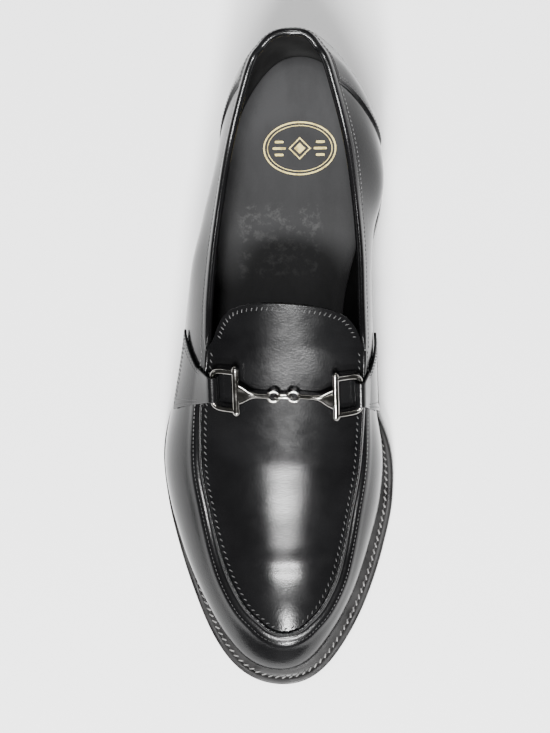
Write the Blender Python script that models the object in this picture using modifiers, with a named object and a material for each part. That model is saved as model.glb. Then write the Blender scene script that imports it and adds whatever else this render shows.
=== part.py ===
"""Leather bit loafer for the right foot, size UK 9, standing on z = 0.

The toe points to -Y and the big-toe side to +X. Tables and sizes are in millimetres,
and become metres where a mesh is made.
"""

import math

import bmesh
import bpy
import numpy as np
from mathutils import Vector

MM = 0.001
CLEARANCE = 0.3

# Middle of the shoe's box in the tables' own plan
BOX_MIDDLE = (-0.5, 1.03, 0.0)

# Lengths along the shoe
SOLE_LENGTH = 298.0
HEEL_BACK_Y = 149.0
MIDDLE_Y = HEEL_BACK_Y - SOLE_LENGTH / 2
HEEL_BREAST_Y = 75.0
WELT_END_Y = 84.0

# Round ends of the sole, seen from above
HEEL_RADIUS = 25.0
TOE_RADIUS = 35.0

# Heights
TOP_LIFT = 5.2
HEEL_HEIGHT = 20.0
OUTSOLE = 5.0
WELT = 3.2
INSOLE = 3.0

# Leather
UPPER_WALL = 2.2
SEAM_RIDGE = 1.1
COUNTER_STEP = 0.9
STRAP = 1.2
STRAP_GAP = 0.4

# Snaffle bit
BIT_WIRE = 1.2
EYE_RING = 2.35
EYE_WIRE = 0.85
LINK_WIRE = 0.55
BIT_LIFT = 3.5

# One row for each cross-section of the sole, measured forward from the heel's back. The welt's margin
# is what stands out round the upper's foot.
SOLE_COLUMNS = ("from_heel", "middle", "half_width", "margin_outer", "margin_inner", "underside")
SOLE_SECTIONS = (
    (12, 11.6, 21.5, 1.8, 1.8, 20.0),
    (28, 11.8, 31.1, 1.8, 1.8, 20.0),
    (50, 11.8, 37.2, 1.8, 1.8, 20.0),
    (74, 9.2, 39.6, 2.6, 3.0, 20.0),
    (98, 4.8, 38.0, 3.4, 3.8, 18.2),
    (122, -0.2, 38.2, 4.2, 4.4, 12.6),
    (144, -3.2, 41.8, 5.2, 5.2, 6.0),
    (164, -3.0, 47.5, 6.0, 6.2, 1.8),
    (186, -1.2, 54.0, 6.4, 7.2, 0.0),
    (211, 0.4, 53.6, 6.2, 8.2, 0.0),
    (234, 1.0, 48.5, 6.2, 8.8, 1.2),
    (258, 1.4, 40.4, 6.4, 8.8, 4.2),
    (279, 1.2, 29.8, 6.8, 8.4, 7.9),
)
SOLE_BACK = {"middle": 11.0, "margin_outer": 1.8, "margin_inner": 1.8, "underside": 20.0}
SOLE_TIP = {"middle": 2.6, "margin_outer": 7.6, "margin_inner": 7.6, "underside": 11.8}

# One row for each rib of the side wall, from the heel to the toe: where it starts on the last's
# edge, where it ends on the topline or the apron seam, and how far it swells on the way
RIB_COLUMNS = (
    "foot_y", "rim_y", "rim_outer", "rim_inner", "rim_z",
    "foot_swell_outer", "foot_swell_inner", "rim_swell_outer", "rim_swell_inner", "rim_drop",
)
RIB_BACK = (147.2, 145.4, 12.0, 12.0, 88.0, 5.0, 5.0, 5.0, 5.0, 24.0)
RIBS = (
    (130.0, 140.0, -1.6, 23.0, 84.5, 5.0, 4.5, 6.0, 5.0, 22.0),
    (101.0, 126.0, -9.8, 29.2, 76.0, 4.0, 7.0, 8.0, 9.0, 18.0),
    (79.0, 96.0, -18.6, 36.0, 65.5, 5.0, 9.0, 6.0, 12.0, 14.0),
    (64.0, 74.0, -22.6, 39.0, 62.0, 10.0, 7.0, 6.0, 8.0, 14.0),
    (46.0, 51.0, -25.4, 41.2, 63.0, 14.0, 10.0, 9.0, 6.0, 15.0),
    (27.0, 29.0, -26.8, 41.9, 66.0, 12.0, 14.0, 11.0, 6.0, 15.0),
    (8.0, 9.0, -26.8, 42.6, 70.0, 9.0, 15.0, 13.0, 6.0, 15.0),
    (-25.0, -22.0, -31.0, 41.6, 59.0, 9.0, 8.0, 14.0, 8.0, 11.0),
    (-49.0, -45.0, -31.8, 39.8, 50.5, 10.0, 6.0, 15.0, 10.0, 9.0),
    (-72.0, -65.0, -28.8, 36.2, 45.2, 9.0, 5.0, 14.0, 11.0, 8.0),
    (-94.0, -85.0, -24.2, 32.0, 41.6, 8.0, 4.0, 12.0, 11.0, 7.5),
    (-108.0, -97.0, -20.1, 28.6, 40.2, 6.5, 3.5, 11.0, 10.5, 7.0),
    (-122.0, -110.0, -13.2, 22.2, 39.0, 5.0, 3.0, 10.0, 10.0, 6.5),
    (-134.0, -118.0, -5.2, 15.0, 38.4, 4.0, 3.0, 9.5, 9.5, 6.0),
    (-145.0, -121.3, -0.2, 9.9, 38.1, 3.6, 3.0, 9.1, 9.1, 6.0),
)
RIB_TIP = (-141.4, -122.3, 4.8, 4.8, 38.0, 3.5, 3.5, 9.0, 9.0, 6.0)

# Height of the vamp's ridge and of the tongue's middle
RIDGE_COLUMNS = ("y", "z")
RIDGE = ((-122.3, 38.0), (-110, 42.6), (-96, 46.6), (-77, 51.0), (-55, 56.6),
         (-32, 64.0), (-12, 71.4), (9, 79.0), (28, 85.0))

# Tongue behind the bit, one row for each cross line: y at its sides and in its middle, and its side x
TONGUE_COLUMNS = ("side_y", "middle_y", "outer_x", "inner_x")
TONGUE = (
    (11.6, 12.2, -24.0, 41.2),
    (15.0, 16.4, -22.4, 40.4),
    (19.4, 21.2, -20.0, 38.4),
    (23.2, 25.4, -16.4, 35.2),
    (25.2, 27.4, -11.5, 30.6),
)
TONGUE_SLANT = 0.06
TONGUE_MIDDLE_X = 8.0

# Where the wall ribs and the apron's cross lines lie
TOE_CORNER_Y = -104.0
TONGUE_ROOT_Y = 9.0
SEAM_FADE_Y = (2.0, -12.0)
COUNTER_SEAM_FOOT_Y = 101.0
WALL_LEVELS = (0.0, 0.08, 0.18, 0.3, 0.42, 0.54, 0.66, 0.78, 0.88, 0.955, 1.0)
SIDE_PARTS = (*(i / 17 for i in range(17)), 0.982, 1.0)
APRON_COLUMNS = (-1.0, -0.95, -0.8, -0.6, -0.38, -0.13, 0.13, 0.38, 0.6, 0.8, 0.95, 1.0)

# Straps: half widths round the bit and at the neck, the wing's corners at its lower edge, and the
# levels of the wall between which it lies
STRAP_BIT_HALF_WIDTH = 5.9
STRAP_NECK_HALF_WIDTH = 8.2
STRAP_NECK_LEVEL = 0.92
STRAP_TAIL = 1.4
WINGS = {
    "lateral": {"back_y": 17.5, "front_y": -19.0, "lowest": 0.6},
    "medial": {"back_y": 16.0, "front_y": -20.0, "lowest": 0.56},
}

# Bit halves: the straight bar, the round outer bar, the eye and the D's middle
BIT_HALVES = {
    "lateral": {"side": -1, "bar_x": -12.7, "outer_x": -23.3, "d_y": -8.2, "eye_x": 3.0, "arm_y": -9.4},
    "medial": {"side": 1, "bar_x": 29.2, "outer_x": 40.0, "d_y": -9.9, "eye_x": 11.8, "arm_y": -10.8},
}
EYE_Y = -11.4
EYE_SPACING = 8.8
BAR_HALF_LENGTH = 10.6
BAR_WIRE = 1.5
BAR_TIP = 1.3
D_HALF_HEIGHT = 8.9
D_SQUARENESS = 6.0
FLARE_COLUMNS = ("from_bar", "half_width", "half_height")
FLARE = ((0.0, 5.2, 1.1), (1.6, 4.7, 1.15), (4.8, 3.1, 1.15), (7.2, 1.7, 1.1), (10.0, 1.1, 1.0))


def column(table, names, name):
    """One named column of a table."""
    return np.array([row[names.index(name)] for row in table], float)


def smooth(xs, ys, at):
    """Cubic curve through rows in rising order, with the slope at each row taken from its neighbours."""
    slopes = np.gradient(ys, xs)
    at = np.asarray(at, float)
    row = np.clip(np.searchsorted(xs, at) - 1, 0, len(xs) - 2)
    step = xs[row + 1] - xs[row]
    t = (at - xs[row]) / step
    return (
        (1 + 2 * t) * (1 - t) ** 2 * ys[row]
        + t * (1 - t) ** 2 * step * slopes[row]
        + t * t * (3 - 2 * t) * ys[row + 1]
        + t * t * (t - 1) * step * slopes[row + 1]
    )


def fade(value, start, end):
    """0 at start and 1 at end, with soft ends."""
    t = np.clip((value - start) / (end - start), 0, 1)
    return t * t * (3 - 2 * t)


# The last's outline. An angle of 0 is the heel's back, 90 the big-toe side, 180 the toe and 270 the
# little-toe side.


def angle_at(y):
    """Angle on the big-toe side, in degrees, where the sole's edge has this y."""
    return math.degrees(math.acos(max(-1.0, min(1.0, (y - MIDDLE_Y) / (SOLE_LENGTH / 2)))))


def along_sole(name, angle):
    """A column of the sole's sections at this angle, read smoothly between heel and toe."""
    stations = np.concatenate([[0], column(SOLE_SECTIONS, SOLE_COLUMNS, "from_heel"), [SOLE_LENGTH]])
    angles = np.degrees(np.arccos(1 - 2 * stations / SOLE_LENGTH))
    values = column(SOLE_SECTIONS, SOLE_COLUMNS, name)
    if name == "half_width":
        values = values / np.sin(np.radians(angles[1:-1]))
        ends = [math.sqrt(radius * SOLE_LENGTH / 2) for radius in (HEEL_RADIUS, TOE_RADIUS)]
    else:
        ends = [SOLE_BACK[name], SOLE_TIP[name]]
    values = np.concatenate([[ends[0]], values, [ends[1]]])
    folded = 180 - abs(180 - angle % 360)
    return float(smooth(angles, values, folded))


def edge_point(angle):
    """Point of the sole's edge in plan."""
    turn = math.radians(angle)
    x = along_sole("middle", angle) + along_sole("half_width", angle) * math.sin(turn)
    return np.array([x, MIDDLE_Y + SOLE_LENGTH / 2 * math.cos(turn)])


def outward(angle):
    """Direction out of the outline, level with the ground."""
    ahead = edge_point(angle + 0.4) - edge_point(angle - 0.4)
    return np.array([-ahead[1], ahead[0]]) / np.hypot(*ahead)


def inset_point(angle, inset):
    """Point of the outline, moved in from the sole's edge."""
    return edge_point(angle) - outward(angle) * inset


def margin(angle):
    """How far the upper's foot lies inside the sole's edge."""
    return along_sole("margin_inner" if angle % 360 <= 180 else "margin_outer", angle)


def underside(y):
    """Height of the outsole's underside: heel seat, arch, flat tread and toe spring."""
    stations = np.concatenate([[0], column(SOLE_SECTIONS, SOLE_COLUMNS, "from_heel"), [SOLE_LENGTH]])
    heights = column(SOLE_SECTIONS, SOLE_COLUMNS, "underside")
    heights = np.concatenate([[SOLE_BACK["underside"]], heights, [SOLE_TIP["underside"]]])
    return float(np.clip(smooth(stations, heights, HEEL_BACK_Y - y), 0.0, HEEL_HEIGHT))


def foot_height(y):
    """Height at which upper, welt and insole start."""
    return underside(y) + OUTSOLE + CLEARANCE


# The side wall, a rib for each angle


def rib_rows():
    """Angles and values of the ribs all the way round, with the rows before 0 and after 360."""
    inner = [(angle_at(row[0]), 1, row) for row in RIBS]
    outer = [(360 - angle, -1, row) for angle, _, row in reversed(inner)]
    ring = [(0.0, 1, RIB_BACK), *inner, (180.0, 1, RIB_TIP), *outer]
    before = [(angle - 360, side, row) for angle, side, row in ring[-2:]]
    after = [(angle + 360, side, row) for angle, side, row in ring[:3]]
    return before + ring + after


RING = rib_rows()
RING_ANGLES = np.array([angle for angle, _, _ in RING])


def around(name, angle):
    """A rib column at this angle; a column with sides is named without outer or inner."""
    values = []
    for _, side, row in RING:
        full = name if name in RIB_COLUMNS else name + ("_inner" if side > 0 else "_outer")
        values.append(row[RIB_COLUMNS.index(full)])
    return float(smooth(RING_ANGLES, np.array(values, float), angle))


def rim_point(angle):
    """Topline behind the straps, apron seam in front of them."""
    return np.array([around("rim", angle), around("rim_y", angle), around("rim_z", angle)])


def wall_point(angle, level):
    """Point of the wall's outer face, from the last's edge at level 0 to the rim at level 1."""
    away = np.append(outward(angle), 0.0)
    plan = inset_point(angle, margin(angle))
    foot = np.append(plan, foot_height(plan[1]) + WELT)
    rim = rim_point(angle)
    rise = rim[2] - foot[2]
    low = foot + away * around("foot_swell", angle) + np.array([0, 0, 0.36 * rise])
    high = rim + away * around("rim_swell", angle) - np.array([0, 0, around("rim_drop", angle)])
    t = level
    return (1 - t) ** 3 * foot + 3 * t * (1 - t) ** 2 * low + 3 * t * t * (1 - t) * high + t ** 3 * rim


def wall_normal(angle, level):
    """Unit vector out of the wall."""
    level = min(max(level, 0.01), 0.99)
    along = wall_point(angle + 0.3, level) - wall_point(angle - 0.3, level)
    up = wall_point(angle, level + 0.01) - wall_point(angle, level - 0.01)
    normal = np.cross(up, along)
    return normal / np.linalg.norm(normal)


# The apron and the tongue, a crowned sheet inside the seam


def seam_angles(y):
    """Angles of the rim at this y, on the little-toe and the big-toe side."""
    feet = column(RIBS, RIB_COLUMNS, "foot_y")[::-1]
    rims = column(RIBS, RIB_COLUMNS, "rim_y")[::-1]
    inner = angle_at(float(smooth(rims, feet, y)))
    return 360 - inner, inner


RIM_SAMPLES = {
    side: np.array([rim_point(side * angle % 360) for angle in np.linspace(180, angle_at(8.0), 90)])
    for side in (-1, 1)
}


def rim_x(y, side):
    """The rim's x on one side at this y."""
    samples = RIM_SAMPLES[side]
    return float(np.interp(y, samples[:, 1], samples[:, 0]))


def crown_height(x, y):
    """Height of the vamp or tongue: the ridge in the middle, the seam at the edges."""
    ridge = float(smooth(column(RIDGE, RIDGE_COLUMNS, "y"), column(RIDGE, RIDGE_COLUMNS, "z"), y))
    at = min(y, TONGUE_ROOT_Y)
    middle = (rim_x(at, -1) + rim_x(at, 1)) / 2
    half = max((rim_x(at, 1) - rim_x(at, -1)) / 2, 1.0)
    seam = float(np.interp(at, RIM_SAMPLES[1][:, 1], RIM_SAMPLES[1][:, 2]))
    root = float(smooth(column(RIDGE, RIDGE_COLUMNS, "y"), column(RIDGE, RIDGE_COLUMNS, "z"), at))
    return ridge - (root - seam) * min(1.0, abs(x - middle) / half) ** 2


def crown_frame(x, y, lift):
    """A place above the vamp: its point, and unit vectors across, along and out of the leather."""
    step = 1.0
    slope_x = (crown_height(x + step, y) - crown_height(x - step, y)) / (2 * step)
    slope_y = (crown_height(x, y + step) - crown_height(x, y - step)) / (2 * step)
    out = np.array([-slope_x, -slope_y, 1.0])
    out /= np.linalg.norm(out)
    along = np.array([0.0, 1.0, slope_y])
    along /= np.linalg.norm(along)
    return np.array([x, y, crown_height(x, y)]) + out * lift, np.cross(along, out), along, out


# Meshes and materials


def material(name, colour, roughness, metallic=0.0):
    """A plain material of this colour."""
    made = bpy.data.materials.new(name)
    made.use_nodes = True
    shader = made.node_tree.nodes["Principled BSDF"]
    shader.inputs["Base Color"].default_value = (*colour, 1.0)
    shader.inputs["Roughness"].default_value = roughness
    shader.inputs["Metallic"].default_value = metallic
    return made


def add_mesh(name, points, faces, finish, smooth_angle=35):
    """An object from points in millimetres."""
    mesh = bpy.data.meshes.new(name)
    mesh.from_pydata([Vector(point) * MM for point in points], [], faces)
    mesh.shade_smooth()
    mesh.set_sharp_from_angle(angle=math.radians(smooth_angle))
    made = bpy.data.objects.new(name, mesh)
    made.data.materials.append(finish)
    bpy.data.collections["bit_loafer"].objects.link(made)
    return made


def loft(rings, closed):
    """Faces between rings of equally many points; each ring is closed, and its ends are capped unless
    the rings themselves run round."""
    count = len(rings[0])
    points = [point for ring in rings for point in ring]
    faces = []
    for i in range(len(rings) if closed else len(rings) - 1):
        after = (i + 1) % len(rings)
        for j in range(count):
            beside = (j + 1) % count
            faces.append((i * count + j, i * count + beside, after * count + beside, after * count + j))
    if not closed:
        last = (len(rings) - 1) * count
        faces.append(tuple(reversed(range(count))))
        faces.append(tuple(range(last, last + count)))
    return points, faces


def slab(name, angles, levels, finish):
    """A flat layer of the sole: levels of the outline, each with its inset and a height rule, closed
    above and below by strips from side to side. The angles run down the big-toe side only."""
    both = [angle for angle in angles if 0 < angle < 180]
    ring = list(angles) + [360 - angle for angle in reversed(both)]
    count = len(ring)
    points = []
    for inset, height in levels:
        for angle in ring:
            x, y = inset_point(angle, inset(angle))
            points.append((x, y, height(y)))
    faces = []
    for level in range(len(levels) - 1):
        for j in range(count):
            beside = (j + 1) % count
            low, high = level * count, (level + 1) * count
            faces.append((low + beside, low + j, high + j, high + beside))
    top = (len(levels) - 1) * count
    place = {angle: i for i, angle in enumerate(ring)}
    for near, far in zip(angles, angles[1:]):
        strip = [near, far]
        if far < 180:
            strip.append(360 - far)
        if near > 0:
            strip.append(360 - near)
        corners = [place[angle] for angle in strip]
        faces.append(tuple(corners))
        faces.append(tuple(top + corner for corner in reversed(corners)))
    return add_mesh(name, points, faces, finish)


# Sole pieces


def stations(start_y, end_y, count):
    """Angles down the big-toe side, from one y to another."""
    start, end = angle_at(start_y), angle_at(end_y)
    return [start + (end - start) * i / count for i in range(count + 1)]


def flat_stations():
    """Angles of the whole sole, with rows on both ends of the flat tread."""
    from_heel = column(SOLE_SECTIONS, SOLE_COLUMNS, "from_heel")
    low = from_heel[column(SOLE_SECTIONS, SOLE_COLUMNS, "underside") == 0.0]
    tread = [HEEL_BACK_Y - low[0], HEEL_BACK_Y - low[-1]]
    back = stations(HEEL_BACK_Y, tread[0], 24)
    middle = stations(tread[0], tread[1], 4)
    front = stations(tread[1], HEEL_BACK_Y - SOLE_LENGTH, 14)
    return back + middle[1:] + front[1:]


def make_outsole(finish):
    """Leather outsole through from heel to toe, with eased edges."""
    ease = 0.8
    levels = (
        (lambda angle: ease, underside),
        (lambda angle: 0.0, lambda y: underside(y) + ease),
        (lambda angle: 0.0, lambda y: underside(y) + OUTSOLE - ease / 2),
        (lambda angle: ease / 2, lambda y: underside(y) + OUTSOLE),
    )
    return slab("outsole", flat_stations(), levels, finish)


def make_heel(lift_finish, stack_finish):
    """Stacked heel of leather layers on a top lift that meets the floor."""
    angles = stations(HEEL_BACK_Y, HEEL_BREAST_Y, 14)
    taper = 1.2
    lift_levels = (
        (lambda angle: taper + 0.5, lambda y: 0.0),
        (lambda angle: taper, lambda y: 0.6),
        (lambda angle: taper - 0.2, lambda y: TOP_LIFT),
    )
    stack_levels = (
        (lambda angle: taper - 0.2, lambda y: TOP_LIFT + CLEARANCE),
        (lambda angle: 0.3, lambda y: HEEL_HEIGHT - CLEARANCE),
    )
    slab("top_lift", angles, lift_levels, lift_finish)
    slab("heel_stack", angles, stack_levels, stack_finish)


def make_insole(finish):
    """Insole and sock inside the upper, level with its foot."""
    def inset(angle):
        return margin(angle) + UPPER_WALL + 2 * CLEARANCE

    levels = (
        (inset, foot_height),
        (inset, lambda y: foot_height(y) + INSOLE),
    )
    return slab("insole", flat_stations(), levels, finish)


def make_welt(finish):
    """Sewn strip round the forepart, from one side of the heel's breast to the other."""
    start = angle_at(WELT_END_Y)
    count = 64
    ease = 0.5
    rings = []
    for i in range(count + 1):
        angle = start + (360 - 2 * start) * i / count
        inner = margin(angle) - CLEARANCE
        section = ((inner, 0.0), (0.0, 0.0), (0.0, WELT - ease), (ease, WELT), (inner, WELT))
        ring = []
        for inset, rise in section:
            x, y = inset_point(angle, inset)
            ring.append((x, y, foot_height(y) + rise))
        rings.append(ring)
    points, faces = loft(rings, closed=False)
    return add_mesh("welt", points, faces, finish)


# The upper


def rib_angles():
    """Angles of the ribs, and the numbers of those at the apron's corners and at the tongue's roots."""
    outer_root, inner_root = seam_angles(TONGUE_ROOT_Y - 0.5)
    outer_corner, inner_corner = seam_angles(TOE_CORNER_Y)
    seam = angle_at(COUNTER_SEAM_FOOT_Y)
    side = [inner_root + (inner_corner - inner_root) * part for part in SIDE_PARTS]
    toe = [180 - (180 - inner_corner) * part for part in reversed(APRON_COLUMNS)][1:-1]
    other = [360 - angle for angle in reversed(side)]
    quarter_count, back_count = 11, 7
    step = 0.6
    quarter = [seam + step + (inner_root - seam - step) * i / quarter_count for i in range(quarter_count)]
    back = [(seam - step) * i / back_count for i in range(-back_count, back_count + 1)]
    rear_outer = [360 - angle for angle in reversed(quarter)]
    rear_back = [angle % 360 for angle in back]
    angles = quarter + side + toe + other + rear_outer + rear_back
    inner_at = len(quarter)
    outer_at = inner_at + 2 * len(side) + len(toe) - 1
    return angles, inner_at, outer_at


def counter_offset(angle):
    """The heel counter is a second layer behind its slanting seam."""
    from_back = min(angle % 360, 360 - angle % 360)
    return COUNTER_STEP if from_back < angle_at(COUNTER_SEAM_FOOT_Y) else 0.0


def seam_lift(y):
    """The apron seam stands up, and sinks under the straps."""
    return SEAM_RIDGE * float(fade(y, *SEAM_FADE_Y))


def apron_rows(rim, inner_at, outer_at):
    """Plan points inside the apron seam, blended from its two sides, its toe arc and the tongue's root."""
    last = len(SIDE_PARTS) - 1
    inner = [rim[inner_at + last - i][:2] for i in range(last + 1)]
    outer = [rim[outer_at - last + i][:2] for i in range(last + 1)]
    toe = [rim[outer_at - last - i][:2] for i in range(len(APRON_COLUMNS))]
    rows = []
    for i in range(1, last + 1):
        part = 1 - SIDE_PARTS[last - i]
        row = []
        for j, across in enumerate(APRON_COLUMNS):
            u = (across + 1) / 2
            sides = outer[i] * (1 - u) + inner[i] * u
            root = outer[-1] * (1 - u) + inner[-1] * u
            corners = (1 - part) * (outer[0] * (1 - u) + inner[0] * u) + part * root
            row.append(sides + (1 - part) * toe[j] + part * root - corners)
        rows.append(row)
    return rows


def make_upper(finish):
    """Hollow leather upper: side wall, apron and tongue are one sheet, thickened inwards."""
    angles, inner_at, outer_at = rib_angles()
    count = len(angles)
    last = len(SIDE_PARTS) - 1
    points = []
    for angle in angles:
        foot = wall_point(angle, 0.0)
        points.append(foot - np.array([0, 0, WELT]))
    for level in WALL_LEVELS:
        for angle in angles:
            push = counter_offset(angle) * float(fade(level, 0.0, 0.06)) * float(fade(level, 1.0, 0.9))
            points.append(wall_point(angle, level) + wall_normal(angle, level) * push)
    faces = []
    for level in range(len(WALL_LEVELS)):
        low, high = level * count, (level + 1) * count
        for j in range(count):
            beside = (j + 1) % count
            faces.append((low + beside, low + j, high + j, high + beside))
    top = len(WALL_LEVELS) * count
    rim = points[top:top + count]
    columns = len(APRON_COLUMNS)
    grid = [[top + outer_at - last - j for j in range(columns)]]
    for i, row in enumerate(apron_rows(rim, inner_at, outer_at), start=1):
        numbers = [top + outer_at - last + i]
        for x, y in row[1:-1]:
            numbers.append(len(points))
            points.append(np.array([x, y, crown_height(x, y)]))
        numbers.append(top + inner_at + last - i)
        grid.append(numbers)
    for row, (side_y, middle_y, outer_x, inner_x) in enumerate(TONGUE, start=1):
        slant = TONGUE_SLANT * row / len(TONGUE)
        numbers = []
        for across in APRON_COLUMNS:
            x = outer_x + (inner_x - outer_x) * (across + 1) / 2
            y = middle_y + (side_y - middle_y) * across * across - slant * (x - TONGUE_MIDDLE_X)
            numbers.append(len(points))
            points.append(np.array([x, y, crown_height(x, y)]))
        grid.append(numbers)
    for near, far in zip(grid, grid[1:]):
        for j in range(columns - 1):
            faces.append((near[j], near[j + 1], far[j + 1], far[j]))
    for i in range(count):
        if points[top + i][1] < TONGUE_ROOT_Y:
            points[top + i] = points[top + i] + np.array([0, 0, seam_lift(points[top + i][1])])
    upper = add_mesh("upper", points, faces, finish)
    wall = upper.modifiers.new("leather_thickness", "SOLIDIFY")
    wall.thickness = UPPER_WALL * MM
    wall.offset = -1.0
    return upper


# Straps


def wall_angle(side, level, y):
    """Angle at which the wall has this y at this level, on the big-toe side (1) or the other (-1)."""
    reach = 30.0
    angles = np.linspace(angle_at(y + reach), angle_at(y - reach), 25)
    heights = [wall_point(side * angle % 360, level)[1] for angle in angles]
    return side * float(np.interp(-y, -np.array(heights), angles)) % 360


def make_strap(name, finish):
    """Saddle strap: a wing on the side wall that narrows upwards and folds round the bit's outer bar."""
    wing, half = WINGS[name], BIT_HALVES[name]
    side = half["side"]
    centre, across, along, out = crown_frame(half["outer_x"], half["d_y"], BIT_LIFT)
    away = across * side
    loop = BIT_WIRE + STRAP_GAP
    rows = []
    parts = [i / 8 for i in range(9)]
    for step in range(7):
        rise = step / 6
        level = wing["lowest"] + (STRAP_NECK_LEVEL - wing["lowest"]) * rise
        front = wing["front_y"] + (half["d_y"] - STRAP_NECK_HALF_WIDTH - wing["front_y"]) * rise
        back = wing["back_y"] + (half["d_y"] + STRAP_NECK_HALF_WIDTH - wing["back_y"]) * rise
        row = []
        for part in parts:
            angle = wall_angle(side, level, front + (back - front) * part)
            row.append(wall_point(angle, level) + wall_normal(angle, level) * STRAP_GAP)
        rows.append(row)
    folds = []
    for turn in range(75, 271, 28):
        lean = math.radians(turn)
        folds.append(away * loop * math.cos(lean) + out * loop * math.sin(lean))
    folds.append(away * STRAP_TAIL - out * loop)
    starts = [centre + along * STRAP_BIT_HALF_WIDTH * (2 * part - 1) + folds[0] for part in parts]
    for share in (0.35, 0.7):
        rows.append([low * (1 - share) + high * share for low, high in zip(rows[6], starts)])
    for fold in folds:
        rows.append([centre + along * STRAP_BIT_HALF_WIDTH * (2 * part - 1) + fold for part in parts])
    points = [point for row in rows for point in row]
    count = len(parts)
    faces = []
    for i in range(len(rows) - 1):
        for j in range(count - 1):
            corners = (i * count + j, i * count + j + 1, (i + 1) * count + j + 1, (i + 1) * count + j)
            faces.append(corners if side > 0 else corners[::-1])
    strap = add_mesh("strap_" + name, points, faces, finish)
    leather = strap.modifiers.new("leather_thickness", "SOLIDIFY")
    leather.thickness = STRAP * MM
    leather.offset = 1.0
    return strap


# The bit


def tube(name, points, radius, closed, finish):
    """A round wire along points, as a mesh."""
    curve = bpy.data.curves.new(name, "CURVE")
    curve.dimensions = "3D"
    curve.bevel_depth = radius * MM
    curve.bevel_resolution = 2
    curve.use_fill_caps = not closed
    spline = curve.splines.new("POLY")
    spline.points.add(len(points) - 1)
    for place, point in zip(spline.points, points):
        place.co = (*(np.array(point) * MM), 1.0)
    spline.use_cyclic_u = closed
    holder = bpy.data.objects.new(name, curve)
    bpy.context.scene.collection.objects.link(holder)
    graph = bpy.context.evaluated_depsgraph_get()
    mesh = bpy.data.meshes.new_from_object(holder.evaluated_get(graph))
    weld = bmesh.new()
    weld.from_mesh(mesh)
    bmesh.ops.remove_doubles(weld, verts=weld.verts, dist=0.00002)
    weld.to_mesh(mesh)
    weld.free()
    mesh.materials.clear()
    mesh.materials.append(finish)
    mesh.shade_smooth()
    mesh.set_sharp_from_angle(angle=math.radians(50))
    bpy.data.objects.remove(holder, do_unlink=True)
    bpy.data.curves.remove(curve)
    return bpy.data.objects.new(name, mesh)


def join(base, extra):
    """Boolean union of an extra shape with its base; the extra shape itself stays out of the model."""
    bpy.data.collections["joined_shapes"].objects.link(extra)
    extra.hide_render = True
    extra.display_type = "WIRE"
    union = base.modifiers.new(extra.name, "BOOLEAN")
    union.operation = "UNION"
    union.object = extra


def eye_frame():
    """The flat place above the vamp where the two eyes meet."""
    middle_x = (BIT_HALVES["lateral"]["eye_x"] + BIT_HALVES["medial"]["eye_x"]) / 2
    return crown_frame(middle_x, EYE_Y, BIT_LIFT)


def bit_places(name):
    """Middle of the straight bar, middle of the eye and the directions at the D."""
    half = BIT_HALVES[name]
    outer, across, along, out = crown_frame(half["outer_x"], half["d_y"], BIT_LIFT)
    away = across * half["side"]
    width = abs(half["outer_x"] - half["bar_x"]) / abs(away[0])
    middle, eye_across, _, _ = eye_frame()
    eye = middle + eye_across * half["side"] * EYE_SPACING / 2
    return outer - away * width, eye, away, along, out, width


def make_bit_half(name, finish):
    """Half of the snaffle: D ring with a straight bar, flared arm and eye."""
    half = BIT_HALVES[name]
    bar, eye, away, along, out, width = bit_places(name)
    ring = []
    for i in range(21):
        turn = math.radians(-90 + 9 * i)
        power = 2 / D_SQUARENESS
        reach = width * abs(math.cos(turn)) ** power
        height = D_HALF_HEIGHT * math.copysign(abs(math.sin(turn)) ** power, turn)
        ring.append(bar + away * reach + along * height)
    whole = tube("bit_" + name, ring, BIT_WIRE, False, finish)
    bpy.data.collections["bit_loafer"].objects.link(whole)
    bar_ends = (bar - along * BAR_HALF_LENGTH, bar + along * BAR_HALF_LENGTH)
    join(whole, tube("bar_" + name, bar_ends, BAR_WIRE, False, finish))
    for part, end in zip(("front", "back"), bar_ends):
        bpy.ops.mesh.primitive_uv_sphere_add(segments=12, ring_count=8, radius=BAR_TIP * MM)
        tip = bpy.context.object
        tip.name = f"tip_{name}_{part}"
        tip.location = Vector(end) * MM
        bpy.context.collection.objects.unlink(tip)
        join(whole, tip)
    middle, eye_across, eye_along, eye_out = eye_frame()
    start = bar + along * (half["arm_y"] - half["d_y"]) / along[1]
    stop = eye + eye_across * half["side"] * EYE_RING
    length = np.linalg.norm(stop - start)
    rings = []
    columns = [column(FLARE, FLARE_COLUMNS, title) for title in FLARE_COLUMNS]
    for share in (0.0, 0.1, 0.2, 0.32, 0.45, 0.6, 0.8, 1.0):
        place = start + (stop - start) * share
        width_here = np.interp(share * length, columns[0], columns[1])
        height_here = np.interp(share * length, columns[0], columns[2])
        side_way = along * (1 - share) + eye_along * share
        up_way = out * (1 - share) + eye_out * share
        section = []
        for i in range(12):
            turn = 2 * math.pi * i / 12 * half["side"]
            section.append(place + side_way * width_here * math.cos(turn) + up_way * height_here * math.sin(turn))
        rings.append(section)
    points, faces = loft(rings, closed=False)
    arm = add_mesh("arm_" + name, points, faces, finish)
    bpy.data.collections["bit_loafer"].objects.unlink(arm)
    join(whole, arm)
    circle = []
    for i in range(20):
        turn = 2 * math.pi * i / 20
        circle.append(eye + (eye_across * math.cos(turn) + eye_along * math.sin(turn)) * EYE_RING)
    join(whole, tube("eye_" + name, circle, EYE_WIRE, True, finish))
    return whole


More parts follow.
